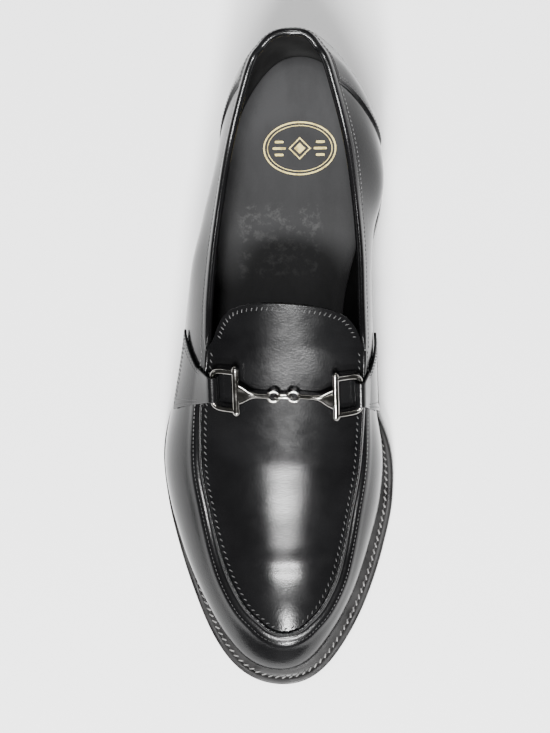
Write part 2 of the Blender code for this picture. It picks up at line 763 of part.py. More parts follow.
def make_bit_link(finish):
    """Small upright link that passes through both eyes."""
    middle, across, _, out = eye_frame()
    clear = EYE_WIRE + CLEARANCE + LINK_WIRE
    reach = EYE_SPACING / 2 - EYE_RING + clear
    path = []
    for end in (1, -1):
        for turn in range(-90, 91, 30):
            lean = math.radians(turn)
            path.append(middle + across * end * (reach - clear + clear * math.cos(lean))
                        + out * end * clear * math.sin(lean))
    link = tube("bit_link", path, LINK_WIRE, True, finish)
    bpy.data.collections["bit_loafer"].objects.link(link)
    return link


def make_all():
    """Clears the scene and makes every piece."""
    for old in list(bpy.data.objects):
        bpy.data.objects.remove(old, do_unlink=True)
    for name in ("bit_loafer", "joined_shapes"):
        bpy.context.scene.collection.children.link(bpy.data.collections.new(name))
    leather = material("black_leather", (0.012, 0.012, 0.013), 0.25)
    sole_leather = material("black_sole_edge", (0.015, 0.014, 0.014), 0.45)
    sock = material("black_sock", (0.03, 0.03, 0.032), 0.7)
    rubber = material("heel_rubber", (0.02, 0.02, 0.02), 0.7)
    make_outsole(sole_leather)
    make_heel(rubber, sole_leather)
    make_welt(sole_leather)
    make_insole(sock)
    make_upper(leather)
    steel = material("polished_gunmetal", (0.35, 0.35, 0.37), 0.15, 1.0)
    for name in BIT_HALVES:
        make_strap(name, leather)
        make_bit_half(name, steel)
    make_bit_link(steel)
    for piece in bpy.data.objects:
        piece.location -= Vector(BOX_MIDDLE) * MM


make_all()
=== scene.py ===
import math

import bpy
import numpy as np
from mathutils import Matrix, Vector


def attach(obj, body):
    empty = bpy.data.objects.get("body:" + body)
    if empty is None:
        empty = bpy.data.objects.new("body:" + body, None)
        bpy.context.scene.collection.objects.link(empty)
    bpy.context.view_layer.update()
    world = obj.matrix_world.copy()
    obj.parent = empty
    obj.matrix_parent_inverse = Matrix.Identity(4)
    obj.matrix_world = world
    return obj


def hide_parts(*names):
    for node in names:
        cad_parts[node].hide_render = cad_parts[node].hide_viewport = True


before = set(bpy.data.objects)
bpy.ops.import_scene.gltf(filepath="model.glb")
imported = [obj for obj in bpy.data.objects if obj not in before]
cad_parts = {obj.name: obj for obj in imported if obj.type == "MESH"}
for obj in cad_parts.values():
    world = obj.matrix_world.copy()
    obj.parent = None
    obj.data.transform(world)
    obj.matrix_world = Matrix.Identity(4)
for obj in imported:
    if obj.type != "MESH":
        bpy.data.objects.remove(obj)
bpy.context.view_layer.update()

# Outsole
# One leather sole from heel to toe, 5 mm thick, sewn to the welt. Its edge is trimmed round, stained
# black and waxed. All tables are in millimetres; the toe points to -Y and the big-toe side to +X.
MM = 0.001
BOX_MIDDLE = np.array([-0.5, 1.03, 0.0])
SOLE_LENGTH = 298.0
HEEL_BACK_Y = 149.0
OUTSOLE = 5.0
HEEL_HEIGHT = 20.0
HEEL_RADIUS, TOE_RADIUS = 25.0, 35.0
AT_TOE = 179.99
SOLE_COLUMNS = ("from_heel", "middle", "half_width", "margin_outer", "margin_inner", "underside")
SOLE_SECTIONS = np.array((
    (12, 11.6, 21.5, 1.8, 1.8, 20.0),
    (28, 11.8, 31.1, 1.8, 1.8, 20.0),
    (50, 11.8, 37.2, 1.8, 1.8, 20.0),
    (74, 9.2, 39.6, 2.6, 3.0, 20.0),
    (98, 4.8, 38.0, 3.4, 3.8, 18.2),
    (122, -0.2, 38.2, 4.2, 4.4, 12.6),
    (144, -3.2, 41.8, 5.2, 5.2, 6.0),
    (164, -3.0, 47.5, 6.0, 6.2, 1.8),
    (186, -1.2, 54.0, 6.4, 7.2, 0.0),
    (211, 0.4, 53.6, 6.2, 8.2, 0.0),
    (234, 1.0, 48.5, 6.2, 8.8, 1.2),
    (258, 1.4, 40.4, 6.4, 8.8, 4.2),
    (279, 1.2, 29.8, 6.8, 8.4, 7.9),
))
STATIONS = np.concatenate([[0], SOLE_SECTIONS[:, 0], [SOLE_LENGTH]])
STATION_ANGLES = np.degrees(np.arccos(1 - 2 * STATIONS / SOLE_LENGTH))
SOLE_ENDS = {
    "middle": (11.0, 2.6),
    "half_width": tuple(np.sqrt(np.array([HEEL_RADIUS, TOE_RADIUS]) * SOLE_LENGTH / 2)),
    "margin_outer": (1.8, 7.6),
    "margin_inner": (1.8, 7.6),
    "underside": (20.0, 11.8),
}


def smooth(xs, ys, at):
    """Cubic curve through rows in rising order."""
    slopes = np.gradient(ys, xs)
    at = np.asarray(at, float)
    row = np.clip(np.searchsorted(xs, at) - 1, 0, len(xs) - 2)
    step = xs[row + 1] - xs[row]
    t = (at - xs[row]) / step
    rise = (1 + 2 * t) * (1 - t) ** 2 * ys[row] + t * (1 - t) ** 2 * step * slopes[row]
    return rise + t * t * (3 - 2 * t) * ys[row + 1] + t * t * (t - 1) * step * slopes[row + 1]


def fade(value, start, end):
    """0 at start and 1 at end, with soft ends."""
    t = np.clip((value - start) / (end - start), 0, 1)
    return t * t * (3 - 2 * t)


def sole_values(name):
    """A column of the sole's sections between its values at the heel's back and the toe's tip."""
    values = SOLE_SECTIONS[:, SOLE_COLUMNS.index(name)]
    if name == "half_width":
        values = values / np.sin(np.radians(STATION_ANGLES[1:-1]))
    first, last = SOLE_ENDS[name]
    return np.concatenate([[first], values, [last]])


def along_sole(name, angle):
    """A column of the sole at an angle: 0 heel, 90 big-toe side, 180 toe, 270 little-toe side."""
    folded = 180 - abs(180 - np.asarray(angle, float) % 360)
    return smooth(STATION_ANGLES, sole_values(name), folded)


def edge_point(angle):
    """Points of the sole's edge in plan."""
    turn = np.radians(angle)
    x = along_sole("middle", angle) + along_sole("half_width", angle) * np.sin(turn)
    return np.stack([x, SOLE_LENGTH / 2 * np.cos(turn)], axis=-1)


def outward(angle):
    """Directions out of the outline, level with the ground."""
    angle = np.asarray(angle, float)
    ahead = edge_point(angle + 0.4) - edge_point(angle - 0.4)
    away = np.stack([-ahead[..., 1], ahead[..., 0]], axis=-1)
    return away / np.linalg.norm(away, axis=-1, keepdims=True)


def inset_point(angle, inset):
    """Points of the outline, moved in from the sole's edge."""
    inset = np.broadcast_to(np.asarray(inset, float), np.shape(angle))
    return edge_point(angle) - outward(angle) * inset[..., None]


def margin(angle):
    """How far the upper's foot lies inside the sole's edge."""
    inner_side = np.asarray(angle, float) % 360 <= 180
    return np.where(inner_side, along_sole("margin_inner", angle), along_sole("margin_outer", angle))


def underside(y):
    """Height of the outsole's underside."""
    heights = smooth(STATIONS, sole_values("underside"), HEEL_BACK_Y - np.asarray(y, float))
    return np.clip(heights, 0.0, HEEL_HEIGHT)


def angle_at(y):
    """Angle on the big-toe side where the sole's edge has this y."""
    return math.degrees(math.acos(max(-1.0, min(1.0, y / (SOLE_LENGTH / 2)))))


def make_piece(name, points, faces, finish, crease=40):
    """A piece from points in millimetres, smooth where its faces meet gently."""
    mesh = bpy.data.meshes.new(name)
    placed = (np.asarray(points, float).reshape(-1, 3) - BOX_MIDDLE) * MM
    mesh.from_pydata(placed.tolist(), [], faces)
    mesh.validate()
    mesh.shade_smooth()
    mesh.set_sharp_from_angle(angle=math.radians(crease))
    mesh.materials.append(finish)
    piece = bpy.data.objects.new(name, mesh)
    bpy.context.scene.collection.objects.link(piece)
    return piece


def fit(piece, slot, *nodes):
    """The piece rides on the shoe and stands for solids of the frame, which it hides. The slot is not
    used.
    """
    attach(piece, "root")
    if nodes:
        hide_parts(*nodes)
    return piece


def sole_layer(name, start_y, levels, finish, edge=None, base=None, count=150):
    """A layer of the sole from the heel's back to start_y. Its levels are rows of inset and height:
    insets count from the sole's edge or from edge, heights from the floor or from base."""
    half = np.linspace(0.0, angle_at(start_y), count)
    both = half[(half > 0) & (half < AT_TOE)]
    ring = np.concatenate([half, 360 - both[::-1]])
    place = {round(float(angle), 4): i for i, angle in enumerate(ring)}
    rows = []
    for inset, height in levels:
        plan = inset_point(ring, inset + (edge(ring) if edge else 0.0))
        ground = base(plan[:, 1]) if base else np.zeros(len(plan))
        rows.append(np.column_stack([plan, ground + height]))
    size = len(ring)
    faces = []
    for level in range(len(levels) - 1):
        low, high = level * size, (level + 1) * size
        for j in range(size):
            beside = (j + 1) % size
            faces.append((low + beside, low + j, high + j, high + beside))
    top = (len(levels) - 1) * size
    for near, far in zip(half, half[1:]):
        strip = [near, far]
        if far < AT_TOE:
            strip.append(360 - far)
        if near > 0:
            strip.append(360 - near)
        corners = [place[round(float(angle), 4)] for angle in strip]
        faces.append(tuple(corners))
        faces.append(tuple(top + corner for corner in reversed(corners)))
    return make_piece(name, np.concatenate(rows), faces, finish)


def new_material(name, colour, roughness, metallic=0.0):
    """A new material and its shader."""
    made = bpy.data.materials.new(name)
    made.use_nodes = True
    shader = made.node_tree.nodes["Principled BSDF"]
    shader.inputs["Base Color"].default_value = (*colour, 1.0)
    shader.inputs["Roughness"].default_value = roughness
    shader.inputs["Metallic"].default_value = metallic
    return made, shader


def texture(made, kind, scale, stretch=(1.0, 1.0, 1.0), **values):
    """A noise or cell texture in the shoe's own metres."""
    tree = made.node_tree
    where = tree.nodes.new("ShaderNodeTexCoord")
    mapping = tree.nodes.new("ShaderNodeMapping")
    mapping.inputs["Scale"].default_value = stretch
    tree.links.new(where.outputs["Object"], mapping.inputs["Vector"])
    made_texture = tree.nodes.new(kind)
    tree.links.new(mapping.outputs["Vector"], made_texture.inputs["Vector"])
    made_texture.inputs["Scale"].default_value = scale
    for name, value in values.items():
        made_texture.inputs[name].default_value = value
    return made_texture


def ramp(made, source, target, low, high, start=0.35, end=0.65):
    """A texture's value turned into colours or numbers between low and high."""
    tree = made.node_tree
    node = tree.nodes.new("ShaderNodeValToRGB")
    node.color_ramp.elements[0].position = start
    node.color_ramp.elements[1].position = end
    for element, value in zip(node.color_ramp.elements, (low, high)):
        element.color = (*value, 1.0) if isinstance(value, tuple) else (value, value, value, 1.0)
    tree.links.new(source, node.inputs["Fac"])
    tree.links.new(node.outputs["Color"], target)


def bump(made, shader, source, depth_mm, below=None):
    """Relief from a texture; below is a relief that it lies on."""
    tree = made.node_tree
    node = tree.nodes.new("ShaderNodeBump")
    node.inputs["Distance"].default_value = depth_mm * MM
    node.inputs["Strength"].default_value = 1.0
    tree.links.new(source, node.inputs["Height"])
    if below:
        tree.links.new(below.outputs["Normal"], node.inputs["Normal"])
    tree.links.new(node.outputs["Normal"], shader.inputs["Normal"])
    return node


def make_sole_finish(name, colour, roughness):
    """Pressed sole leather: black stain, wax that is rubbed in unevenly, and the fine lines of its
    layers along the edge."""
    made, shader = new_material(name, colour, roughness)
    shader.inputs["Specular IOR Level"].default_value = 0.3
    layers = texture(made, "ShaderNodeTexNoise", 260, (0.12, 0.12, 6.0), Detail=5.0)
    bright = tuple(value * 2.6 for value in colour)
    ramp(made, layers.outputs[0], shader.inputs["Base Color"], colour, bright)
    wax = texture(made, "ShaderNodeTexNoise", 90, Detail=4.0)
    ramp(made, wax.outputs[0], shader.inputs["Roughness"], roughness - 0.1, roughness + 0.15)
    bump(made, shader, layers.outputs[0], 0.12)
    return made


sole_edge = make_sole_finish("black_sole_edge", (0.0045, 0.0042, 0.0042), 0.42)
OUTSOLE_EDGE = ((5.0, 0.0), (0.9, 0.0), (0.3, 0.35), (0.0, 1.1), (-0.15, 2.5), (0.0, 4.2), (0.25, 4.8),
                (0.8, OUTSOLE))
outsole = sole_layer("outsole_leather", -HEEL_BACK_Y, OUTSOLE_EDGE, sole_edge, base=underside)
fit(outsole, "sole_leather", "outsole")

# Heel
# Three lifts of sole leather are glued and pegged under the seat, and a rubber top lift meets the
# floor. The back is trimmed to one smooth face with fine grooves where the lifts meet.
HEEL_BREAST_Y = 75.0
TOP_LIFT = 5.2
LIFTS = (5.5, 10.2, 14.9, 19.6)
LIFT_GROOVE = 0.45
GROOVE_HALF = 0.35
HEEL_POINTS = 70


def heel_inset(height):
    """The heel tapers by about a millimetre towards the floor."""
    return 1.0 - 0.7 * (height - TOP_LIFT) / (HEEL_HEIGHT - TOP_LIFT)


stack_levels = []
for low, high in zip(LIFTS, LIFTS[1:]):
    for height, groove in ((low, LIFT_GROOVE), (low + GROOVE_HALF, 0.0),
                           (high - GROOVE_HALF, 0.0), (high, LIFT_GROOVE)):
        stack_levels.append((heel_inset(height) + groove, height))
heel_lifts = sole_layer("heel_lifts", HEEL_BREAST_Y, stack_levels, sole_edge, count=HEEL_POINTS)
fit(heel_lifts, "sole_leather", "heel_stack")

heel_rubber, rubber_shader = new_material("heel_rubber", (0.018, 0.018, 0.018), 0.62)
speckle = texture(heel_rubber, "ShaderNodeTexNoise", 700, Detail=3.0)
ramp(heel_rubber, speckle.outputs[0], rubber_shader.inputs["Base Color"], (0.012,) * 3, (0.03,) * 3)
bump(heel_rubber, rubber_shader, speckle.outputs[0], 0.1)
TOP_LIFT_EDGE = ((1.9, 0.0), (1.35, 0.25), (1.15, 0.8), (1.0, 4.9), (1.3, TOP_LIFT))
top_lift = sole_layer("rubber_top_lift", HEEL_BREAST_Y, TOP_LIFT_EDGE, heel_rubber, count=HEEL_POINTS)
fit(top_lift, "rubber", "top_lift")

# Welt
# A strip of leather goes round the forepart from one side of the heel's breast to the other. It is
# sewn to the outsole with waxed thread, one stitch every 3.2 mm, in a shallow groove.
CLEARANCE = 0.3
WELT = 3.2
WELT_END_Y = 84.0
WELT_EDGE = ((0.15, 0.0), (0.0, 0.3), (0.0, 2.5), (0.2, 2.95), (0.5, 3.15))
WELT_GROOVE = ((-1.0, 3.2), (-0.45, 2.95), (0.0, 2.85), (0.45, 2.95), (1.0, 3.2))
WELT_TOP = 3.3
THREAD_HEIGHT = 3.05
GROOVE_FARTHEST_IN = 3.4
WELT_STITCH = {"pitch": 3.2, "length": 2.5, "radius": 0.46, "lean": 32.0}


def foot_height(y):
    """Height at which upper, welt and insole start."""
    return underside(y) + OUTSOLE + CLEARANCE


def sheet_faces(rows, columns, wrap=False, turned=False):
    """Faces of a grid of points; a wrapped grid is closed along its columns."""
    faces = []
    for i in range(rows - 1):
        for j in range(columns if wrap else columns - 1):
            beside = (j + 1) % columns
            near, far = i * columns, (i + 1) * columns
            face = (near + j, near + beside, far + beside, far + j)
            faces.append(face[::-1] if turned else face)
    return faces


def sew(path, normals, pitch, length, radius, lean=0.0, skip=0.0):
    """Points and faces of stitches along a path: short rounded threads that lie half in the leather.
    A lean turns each one on the surface, in degrees; skip leaves both ends of the path bare."""
    path, normals = np.asarray(path, float), np.asarray(normals, float)
    steps = np.linalg.norm(np.diff(path, axis=0), axis=1)
    run = np.concatenate([[0], np.cumsum(steps)])
    count = max(1, int((run[-1] - 2 * skip) / pitch))
    at = skip + (np.arange(count) + 0.5) * (run[-1] - 2 * skip) / count
    middle = np.stack([np.interp(at, run, path[:, k]) for k in range(3)], axis=1)
    ahead = np.stack([np.interp(at + 0.3, run, path[:, k]) for k in range(3)], axis=1) - middle
    up = np.stack([np.interp(at, run, normals[:, k]) for k in range(3)], axis=1)
    up /= np.linalg.norm(up, axis=1, keepdims=True)
    side = np.cross(up, ahead)
    side /= np.linalg.norm(side, axis=1, keepdims=True) + 1e-9
    along = np.cross(side, up)
    cos, sin = math.cos(math.radians(lean)), math.sin(math.radians(lean))
    along, side = along * cos + side * sin, side * cos - along * sin
    sections = ((-1.0, 0.3), (-0.75, 0.8), (0.0, 1.0), (0.75, 0.8), (1.0, 0.3))
    corners = 6
    points = []
    for place, swell in sections:
        for k in range(corners):
            roll = 2 * math.pi * k / corners
            away = side * math.cos(roll) + up * math.sin(roll) * 0.8
            points.append(middle + along * place * length / 2 + away * radius * swell)
    points = np.stack(points, axis=1).reshape(-1, 3)
    per = len(sections) * corners
    template = sheet_faces(len(sections), corners, wrap=True, turned=True)
    template.append(tuple(range(corners)))
    template.append(tuple(reversed(range(per - corners, per))))
    faces = [tuple(n * per + corner for corner in face) for n in range(count) for face in template]
    return points, faces


def gather(*shapes):
    """Several shapes' points and faces as one."""
    points, faces, start = [], [], 0
    for some_points, some_faces in shapes:
        some_points = np.asarray(some_points, float).reshape(-1, 3)
        points.append(some_points)
        faces.extend(tuple(start + corner for corner in face) for face in some_faces)
        start += len(some_points)
    return np.concatenate(points), faces


welt_start = angle_at(WELT_END_Y)
welt_angles = np.linspace(welt_start, 360 - welt_start, 420)


def welt_row(inset, rise):
    """Points along the welt at an inset from the sole's edge and a height over the outsole."""
    plan = inset_point(welt_angles, inset)
    return np.column_stack([plan, foot_height(plan[:, 1]) + rise])


welt_inner = margin(welt_angles) - CLEARANCE
groove_inset = np.minimum(margin(welt_angles) * 0.5, GROOVE_FARTHEST_IN)
welt_rows = [welt_row(welt_inner, 0.0)]
welt_rows += [welt_row(inset, rise) for inset, rise in WELT_EDGE]
welt_rows += [welt_row(groove_inset + offset, rise) for offset, rise in WELT_GROOVE]
welt_rows.append(welt_row(welt_inner, WELT_TOP))
section_count = len(welt_rows)
welt_points = np.stack(welt_rows, axis=1).reshape(-1, 3)
welt_faces = sheet_faces(len(welt_angles), section_count, wrap=True)
welt_faces.append(tuple(reversed(range(section_count))))
welt_faces.append(tuple(range(len(welt_points) - section_count, len(welt_points))))
welt_leather = make_sole_finish("black_welt", (0.0042, 0.004, 0.004), 0.36)
fit(make_piece("welt_strip", welt_points, welt_faces, welt_leather), "sole_leather", "welt")

welt_thread, thread_shader = new_material("waxed_thread", (0.11, 0.105, 0.1), 0.5)
twist = texture(welt_thread, "ShaderNodeTexNoise", 900, Detail=2.0)
ramp(welt_thread, twist.outputs[0], thread_shader.inputs["Base Color"], (0.05,) * 3, (0.16, 0.155, 0.15))
thread_line = welt_row(groove_inset, THREAD_HEIGHT)
upright = np.tile([0.0, 0.0, 1.0], (len(thread_line), 1))
fit(make_piece("welt_stitches", *sew(thread_line, upright, **WELT_STITCH), welt_thread), "sole_leather")

# Sock
# Lining leather glued over the insole inside the shoe, matt black, with grey flecks where it has been
# rubbed in front of the heel. A plain gilt ornament is foil-pressed on its heel seat.
UPPER_WALL = 2.2
INSOLE = 3.0
SOCK_EDGE = ((1.6, 0.0), (0.4, 0.3), (0.0, 1.6), (0.2, 2.6), (1.0, 2.95), (5.0, INSOLE))
RUBBED_MIDDLE = (0.0025, 0.058)
RUBBED_HALF = (0.019, 0.0165)
RUBBED_EDGE = 0.002
WORN_GREY = (0.045, 0.045, 0.045, 1.0)


def sock_edge(angle):
    """The sock lies against the lining all round."""
    return margin(angle) + UPPER_WALL


def worked_out(made, operation, first, second=None):
    """A number that a node works out from one or two others."""
    tree = made.node_tree
    node = tree.nodes.new("ShaderNodeMath")
    node.operation = operation
    for socket, value in zip(node.inputs, (first, second)):
        if isinstance(value, float):
            socket.default_value = value
        elif value is not None:
            tree.links.new(value, socket)
    return node.outputs[0]


def share_between(made, source, none, whole):
    """A number turned into a share: 0 at none, 1 at whole."""
    tree = made.node_tree
    node = tree.nodes.new("ShaderNodeMapRange")
    node.inputs["From Min"].default_value = none
    node.inputs["From Max"].default_value = whole
    tree.links.new(source, node.inputs["Value"])
    return node.outputs["Result"]


sock_leather, sock_shader = new_material("matt_sock_leather", (0.03, 0.03, 0.032), 0.6)
sock_shader.inputs["Specular IOR Level"].default_value = 0.2
rub = texture(sock_leather, "ShaderNodeTexNoise", 28, (1.0, 0.45, 1.0), Detail=6.0, Roughness=0.62)
black, dusty = (0.009, 0.009, 0.0095), (0.028, 0.028, 0.029)
ramp(sock_leather, rub.outputs[0], sock_shader.inputs["Base Color"], black, dusty)
ramp(sock_leather, rub.outputs[0], sock_shader.inputs["Roughness"], 0.5, 0.72)
pores = texture(sock_leather, "ShaderNodeTexNoise", 1500, Detail=3.0)
tree = sock_leather.node_tree
sock_place = tree.nodes.new("ShaderNodeTexCoord")
split = tree.nodes.new("ShaderNodeSeparateXYZ")
tree.links.new(sock_place.outputs["Object"], split.inputs["Vector"])
flecks = texture(sock_leather, "ShaderNodeTexNoise", 240, Detail=7.0, Roughness=0.7)
lifted = share_between(sock_leather, flecks.outputs[0], 0.5, 0.66)
for axis, middle, half in zip("XY", RUBBED_MIDDLE, RUBBED_HALF):
    away = worked_out(sock_leather, "SUBTRACT", split.outputs[axis], middle)
    away = worked_out(sock_leather, "ABSOLUTE", away)
    inside_patch = share_between(sock_leather, away, half + RUBBED_EDGE, half - RUBBED_EDGE)
    lifted = worked_out(sock_leather, "MULTIPLY", lifted, inside_patch)
worn = tree.nodes.new("ShaderNodeMix")
worn.data_type = "RGBA"
plain_colour, worn_colour = [socket for socket in worn.inputs if socket.type == "RGBA"]
worn_result, = [socket for socket in worn.outputs if socket.type == "RGBA"]
tree.links.new(lifted, worn.inputs["Factor"])
tree.links.new(sock_shader.inputs["Base Color"].links[0].from_socket, plain_colour)
worn_colour.default_value = WORN_GREY
tree.links.new(worn_result, sock_shader.inputs["Base Color"])
bump(sock_leather, sock_shader, pores.outputs[0], 0.05)
sock = sole_layer("leather_sock", -HEEL_BACK_Y, SOCK_EDGE, sock_leather, edge=sock_edge, base=foot_height)
fit(sock, "sock", "insole")

gilt, gilt_shader = new_material("pressed_gilt", (0.8, 0.66, 0.34), 0.5, 0.3)
flakes = texture(gilt, "ShaderNodeTexNoise", 240, Detail=4.0)
worn_gilt, bright_gilt = (0.4, 0.3, 0.08), (0.72, 0.6, 0.22)
ramp(gilt, flakes.outputs[0], gilt_shader.inputs["Base Color"], worn_gilt, bright_gilt, 0.3, 0.5)
ORNAMENT_MIDDLE = np.array([11.4, 102.0])
FOIL_HEIGHT = 28.36
ORNAMENT_BARS = ((2.0, 3.0), (3.0, 0.0), (2.0, -3.0))
ORNAMENT_BARS_X = 9.6


def foil_band(half_x, half_y, width, power, centre=(0.0, 0.0), count=96):
    """A thin closed band: a superellipse and its inner line, on the heel seat."""
    turn = np.linspace(0, 2 * math.pi, count, endpoint=False)
    around_one = np.stack([np.sign(wave(turn)) * abs(wave(turn)) ** (2 / power)
                           for wave in (np.cos, np.sin)], axis=1)
    rows = []
    for reach in (0.0, width):
        flat = around_one * (half_x - reach, half_y - reach) + ORNAMENT_MIDDLE + centre
        rows.append(np.column_stack([flat, np.full(count, FOIL_HEIGHT)]))
    return np.concatenate(rows), sheet_faces(2, count, wrap=True)


ornament = gather(
    foil_band(17.0, 12.5, 0.7, 2.0),
    foil_band(15.2, 10.8, 0.35, 2.0),
    foil_band(5.2, 5.2, 0.8, 1.0),
    foil_band(2.6, 2.6, 2.55, 1.0),
    *(foil_band(reach, 0.55, 0.5, 6.0, (side * ORNAMENT_BARS_X, rise))
      for side in (-1, 1) for reach, rise in ORNAMENT_BARS),
)
fit(make_piece("gilt_ornament", *ornament, gilt), "sock")

# Side wall
# Vamp and quarters of polished black calf, lasted over the insole and sewn into the welt. A heel
# counter lies over the quarters behind a slanting seam, and matt lining leather faces the foot.
RIB_COLUMNS = (
    "foot_y", "rim_y", "rim_outer", "rim_inner", "rim_z",
    "foot_swell_outer", "foot_swell_inner", "rim_swell_outer", "rim_swell_inner", "rim_drop",
)
RIB_BACK = (147.2, 145.4, 12.0, 12.0, 88.0, 5.0, 5.0, 5.0, 5.0, 24.0)
RIBS = (
    (130.0, 140.0, -1.6, 23.0, 84.5, 5.0, 4.5, 6.0, 5.0, 22.0),
    (101.0, 126.0, -9.8, 29.2, 76.0, 4.0, 7.0, 8.0, 9.0, 18.0),
    (79.0, 96.0, -18.6, 36.0, 65.5, 5.0, 9.0, 6.0, 12.0, 14.0),
    (64.0, 74.0, -22.6, 39.0, 62.0, 10.0, 7.0, 6.0, 8.0, 14.0),
    (46.0, 51.0, -25.4, 41.2, 63.0, 14.0, 10.0, 9.0, 6.0, 15.0),
    (27.0, 29.0, -26.8, 41.9, 66.0, 12.0, 14.0, 11.0, 6.0, 15.0),
    (8.0, 9.0, -26.8, 42.6, 70.0, 9.0, 15.0, 13.0, 6.0, 15.0),
    (-25.0, -22.0, -31.0, 41.6, 59.0, 9.0, 8.0, 14.0, 8.0, 11.0),
    (-49.0, -45.0, -31.8, 39.8, 50.5, 10.0, 6.0, 15.0, 10.0, 9.0),
    (-72.0, -65.0, -28.8, 36.2, 45.2, 9.0, 5.0, 14.0, 11.0, 8.0),
    (-94.0, -85.0, -24.2, 32.0, 41.6, 8.0, 4.0, 12.0, 11.0, 7.5),
    (-108.0, -97.0, -20.1, 28.6, 40.2, 6.5, 3.5, 11.0, 10.5, 7.0),
    (-122.0, -110.0, -13.2, 22.2, 39.0, 5.0, 3.0, 10.0, 10.0, 6.5),
    (-134.0, -118.0, -5.2, 15.0, 38.4, 4.0, 3.0, 9.5, 9.5, 6.0),
    (-145.0, -121.3, -0.2, 9.9, 38.1, 3.6, 3.0, 9.1, 9.1, 6.0),
)
RIB_TIP = (-141.4, -122.3, 4.8, 4.8, 38.0, 3.5, 3.5, 9.0, 9.0, 6.0)
COUNTER_SEAM_FOOT_Y = 101.0
COUNTER_STEP = 0.9
COUNTER_DENT = 0.35
CHANNEL_DEPTH = 0.75
CHANNEL_SWELL = 0.35
FOOT_SWELL_RISE = 0.36
TONGUE_ROOT_Y = 9.0

inner_ribs = [(angle_at(row[0]), 1, row) for row in RIBS]
outer_ribs = [(360 - angle, -1, row) for angle, _, row in reversed(inner_ribs)]
ring = [(0.0, 1, RIB_BACK), *inner_ribs, (180.0, 1, RIB_TIP), *outer_ribs]
ring = ([(angle - 360, side, row) for angle, side, row in ring[-2:]] + ring
        + [(angle + 360, side, row) for angle, side, row in ring[:3]])
RING_ANGLES = np.array([angle for angle, _, _ in ring])


def around(name, angle):
    """A rib column at these angles; a column with sides is named without outer or inner."""
    values = []
    for _, side, row in ring:
        full = name if name in RIB_COLUMNS else name + ("_inner" if side > 0 else "_outer")
        values.append(row[RIB_COLUMNS.index(full)])
    return smooth(RING_ANGLES, np.array(values, float), np.asarray(angle, float) % 360)


def rim_point(angle):
    """Topline behind the straps, apron seam in front of them."""
    return np.stack([around("rim", angle), around("rim_y", angle), around("rim_z", angle)], axis=-1)


def wall_point(angle, level):
    """Points of the wall's outer face, from the last's edge at level 0 to the rim at level 1."""
    angle = np.asarray(angle, float)
    t = np.asarray(level, float)[..., None]
    away = outward(angle)
    away = np.concatenate([away, np.zeros_like(away[..., :1])], axis=-1)
    plan = inset_point(angle, margin(angle))
    foot = np.concatenate([plan, (foot_height(plan[..., 1]) + WELT)[..., None]], axis=-1)
    rim = rim_point(angle)
    up = np.array([0.0, 0.0, 1.0])
    rise = (rim[..., 2] - foot[..., 2])[..., None]
    low = foot + away * around("foot_swell", angle)[..., None] + up * FOOT_SWELL_RISE * rise
    high = rim + away * around("rim_swell", angle)[..., None] - up * around("rim_drop", angle)[..., None]
    return (1 - t) ** 3 * foot + 3 * t * (1 - t) ** 2 * low + 3 * t * t * (1 - t) * high + t ** 3 * rim


def wall_normal(angle, level):
    """Unit vectors out of the wall."""
    angle = np.asarray(angle, float)
    level = np.clip(np.asarray(level, float), 0.01, 0.99)
    along = wall_point(angle + 0.3, level) - wall_point(angle - 0.3, level)
    up = wall_point(angle, level + 0.01) - wall_point(angle, level - 0.01)
    normal = np.cross(up, along)
    return normal / np.linalg.norm(normal, axis=-1, keepdims=True)


def below_rim(angle, distance):
    """Level of the wall at a distance in millimetres below its rim."""
    step = 0.05
    last_stretch = rim_point(angle) - wall_point(angle, np.full(np.shape(angle), 1 - step))
    return 1 - step * distance / np.linalg.norm(last_stretch, axis=-1)


def seam_angles(y):
    """Angles of the rim at this y, on the little-toe and the big-toe side."""
    feet = np.array([row[0] for row in RIBS])[::-1]
    rims = np.array([row[1] for row in RIBS])[::-1]
    inner = angle_at(float(smooth(rims, feet, y)))
    return 360 - inner, inner


outer_root, inner_root = seam_angles(TONGUE_ROOT_Y)
counter_angle = angle_at(COUNTER_SEAM_FOOT_Y)


def channel_width(y):
    """Width of the channel below the apron seam, wider round the toe."""
    return 3.0 + 1.6 * fade(y, -60.0, -105.0)


def wall_relief(angle, level):
    """How far the leather stands out of the plain wall, in millimetres: the counter's layer, the
    channel below the apron seam, and the soft swell of the lasted leather."""
    from_back = np.minimum(angle % 360, 360 - angle % 360)
    counter = COUNTER_STEP * fade(from_back, counter_angle + 0.12, counter_angle - 0.12)
    counter = counter * fade(level, 0.0, 0.06) * fade(level, 1.0, 0.9)
    beside_seam = (from_back - counter_angle - 0.35) / 0.35
    dent = COUNTER_DENT * np.exp(-beside_seam ** 2) * fade(level, 1.0, 0.9)
    y = wall_point(angle, level)[..., 1]
    below = (1 - level) / (1 - below_rim(angle, 1.0))
    front = fade(y, 2.0, -12.0)
    width = channel_width(y)
    channel = CHANNEL_DEPTH * np.exp(-((below - width * 0.55) / (width * 0.36)) ** 2) * front
    swell = CHANNEL_SWELL * np.exp(-((below - width - 2.6) / 2.0) ** 2) * front
    return counter - dent - channel + swell


def skin(angle, level):
    """Point and unit normal of the finished wall."""
    normal = wall_normal(angle, level)
    return wall_point(angle, level) + normal * wall_relief(angle, level)[..., None], normal


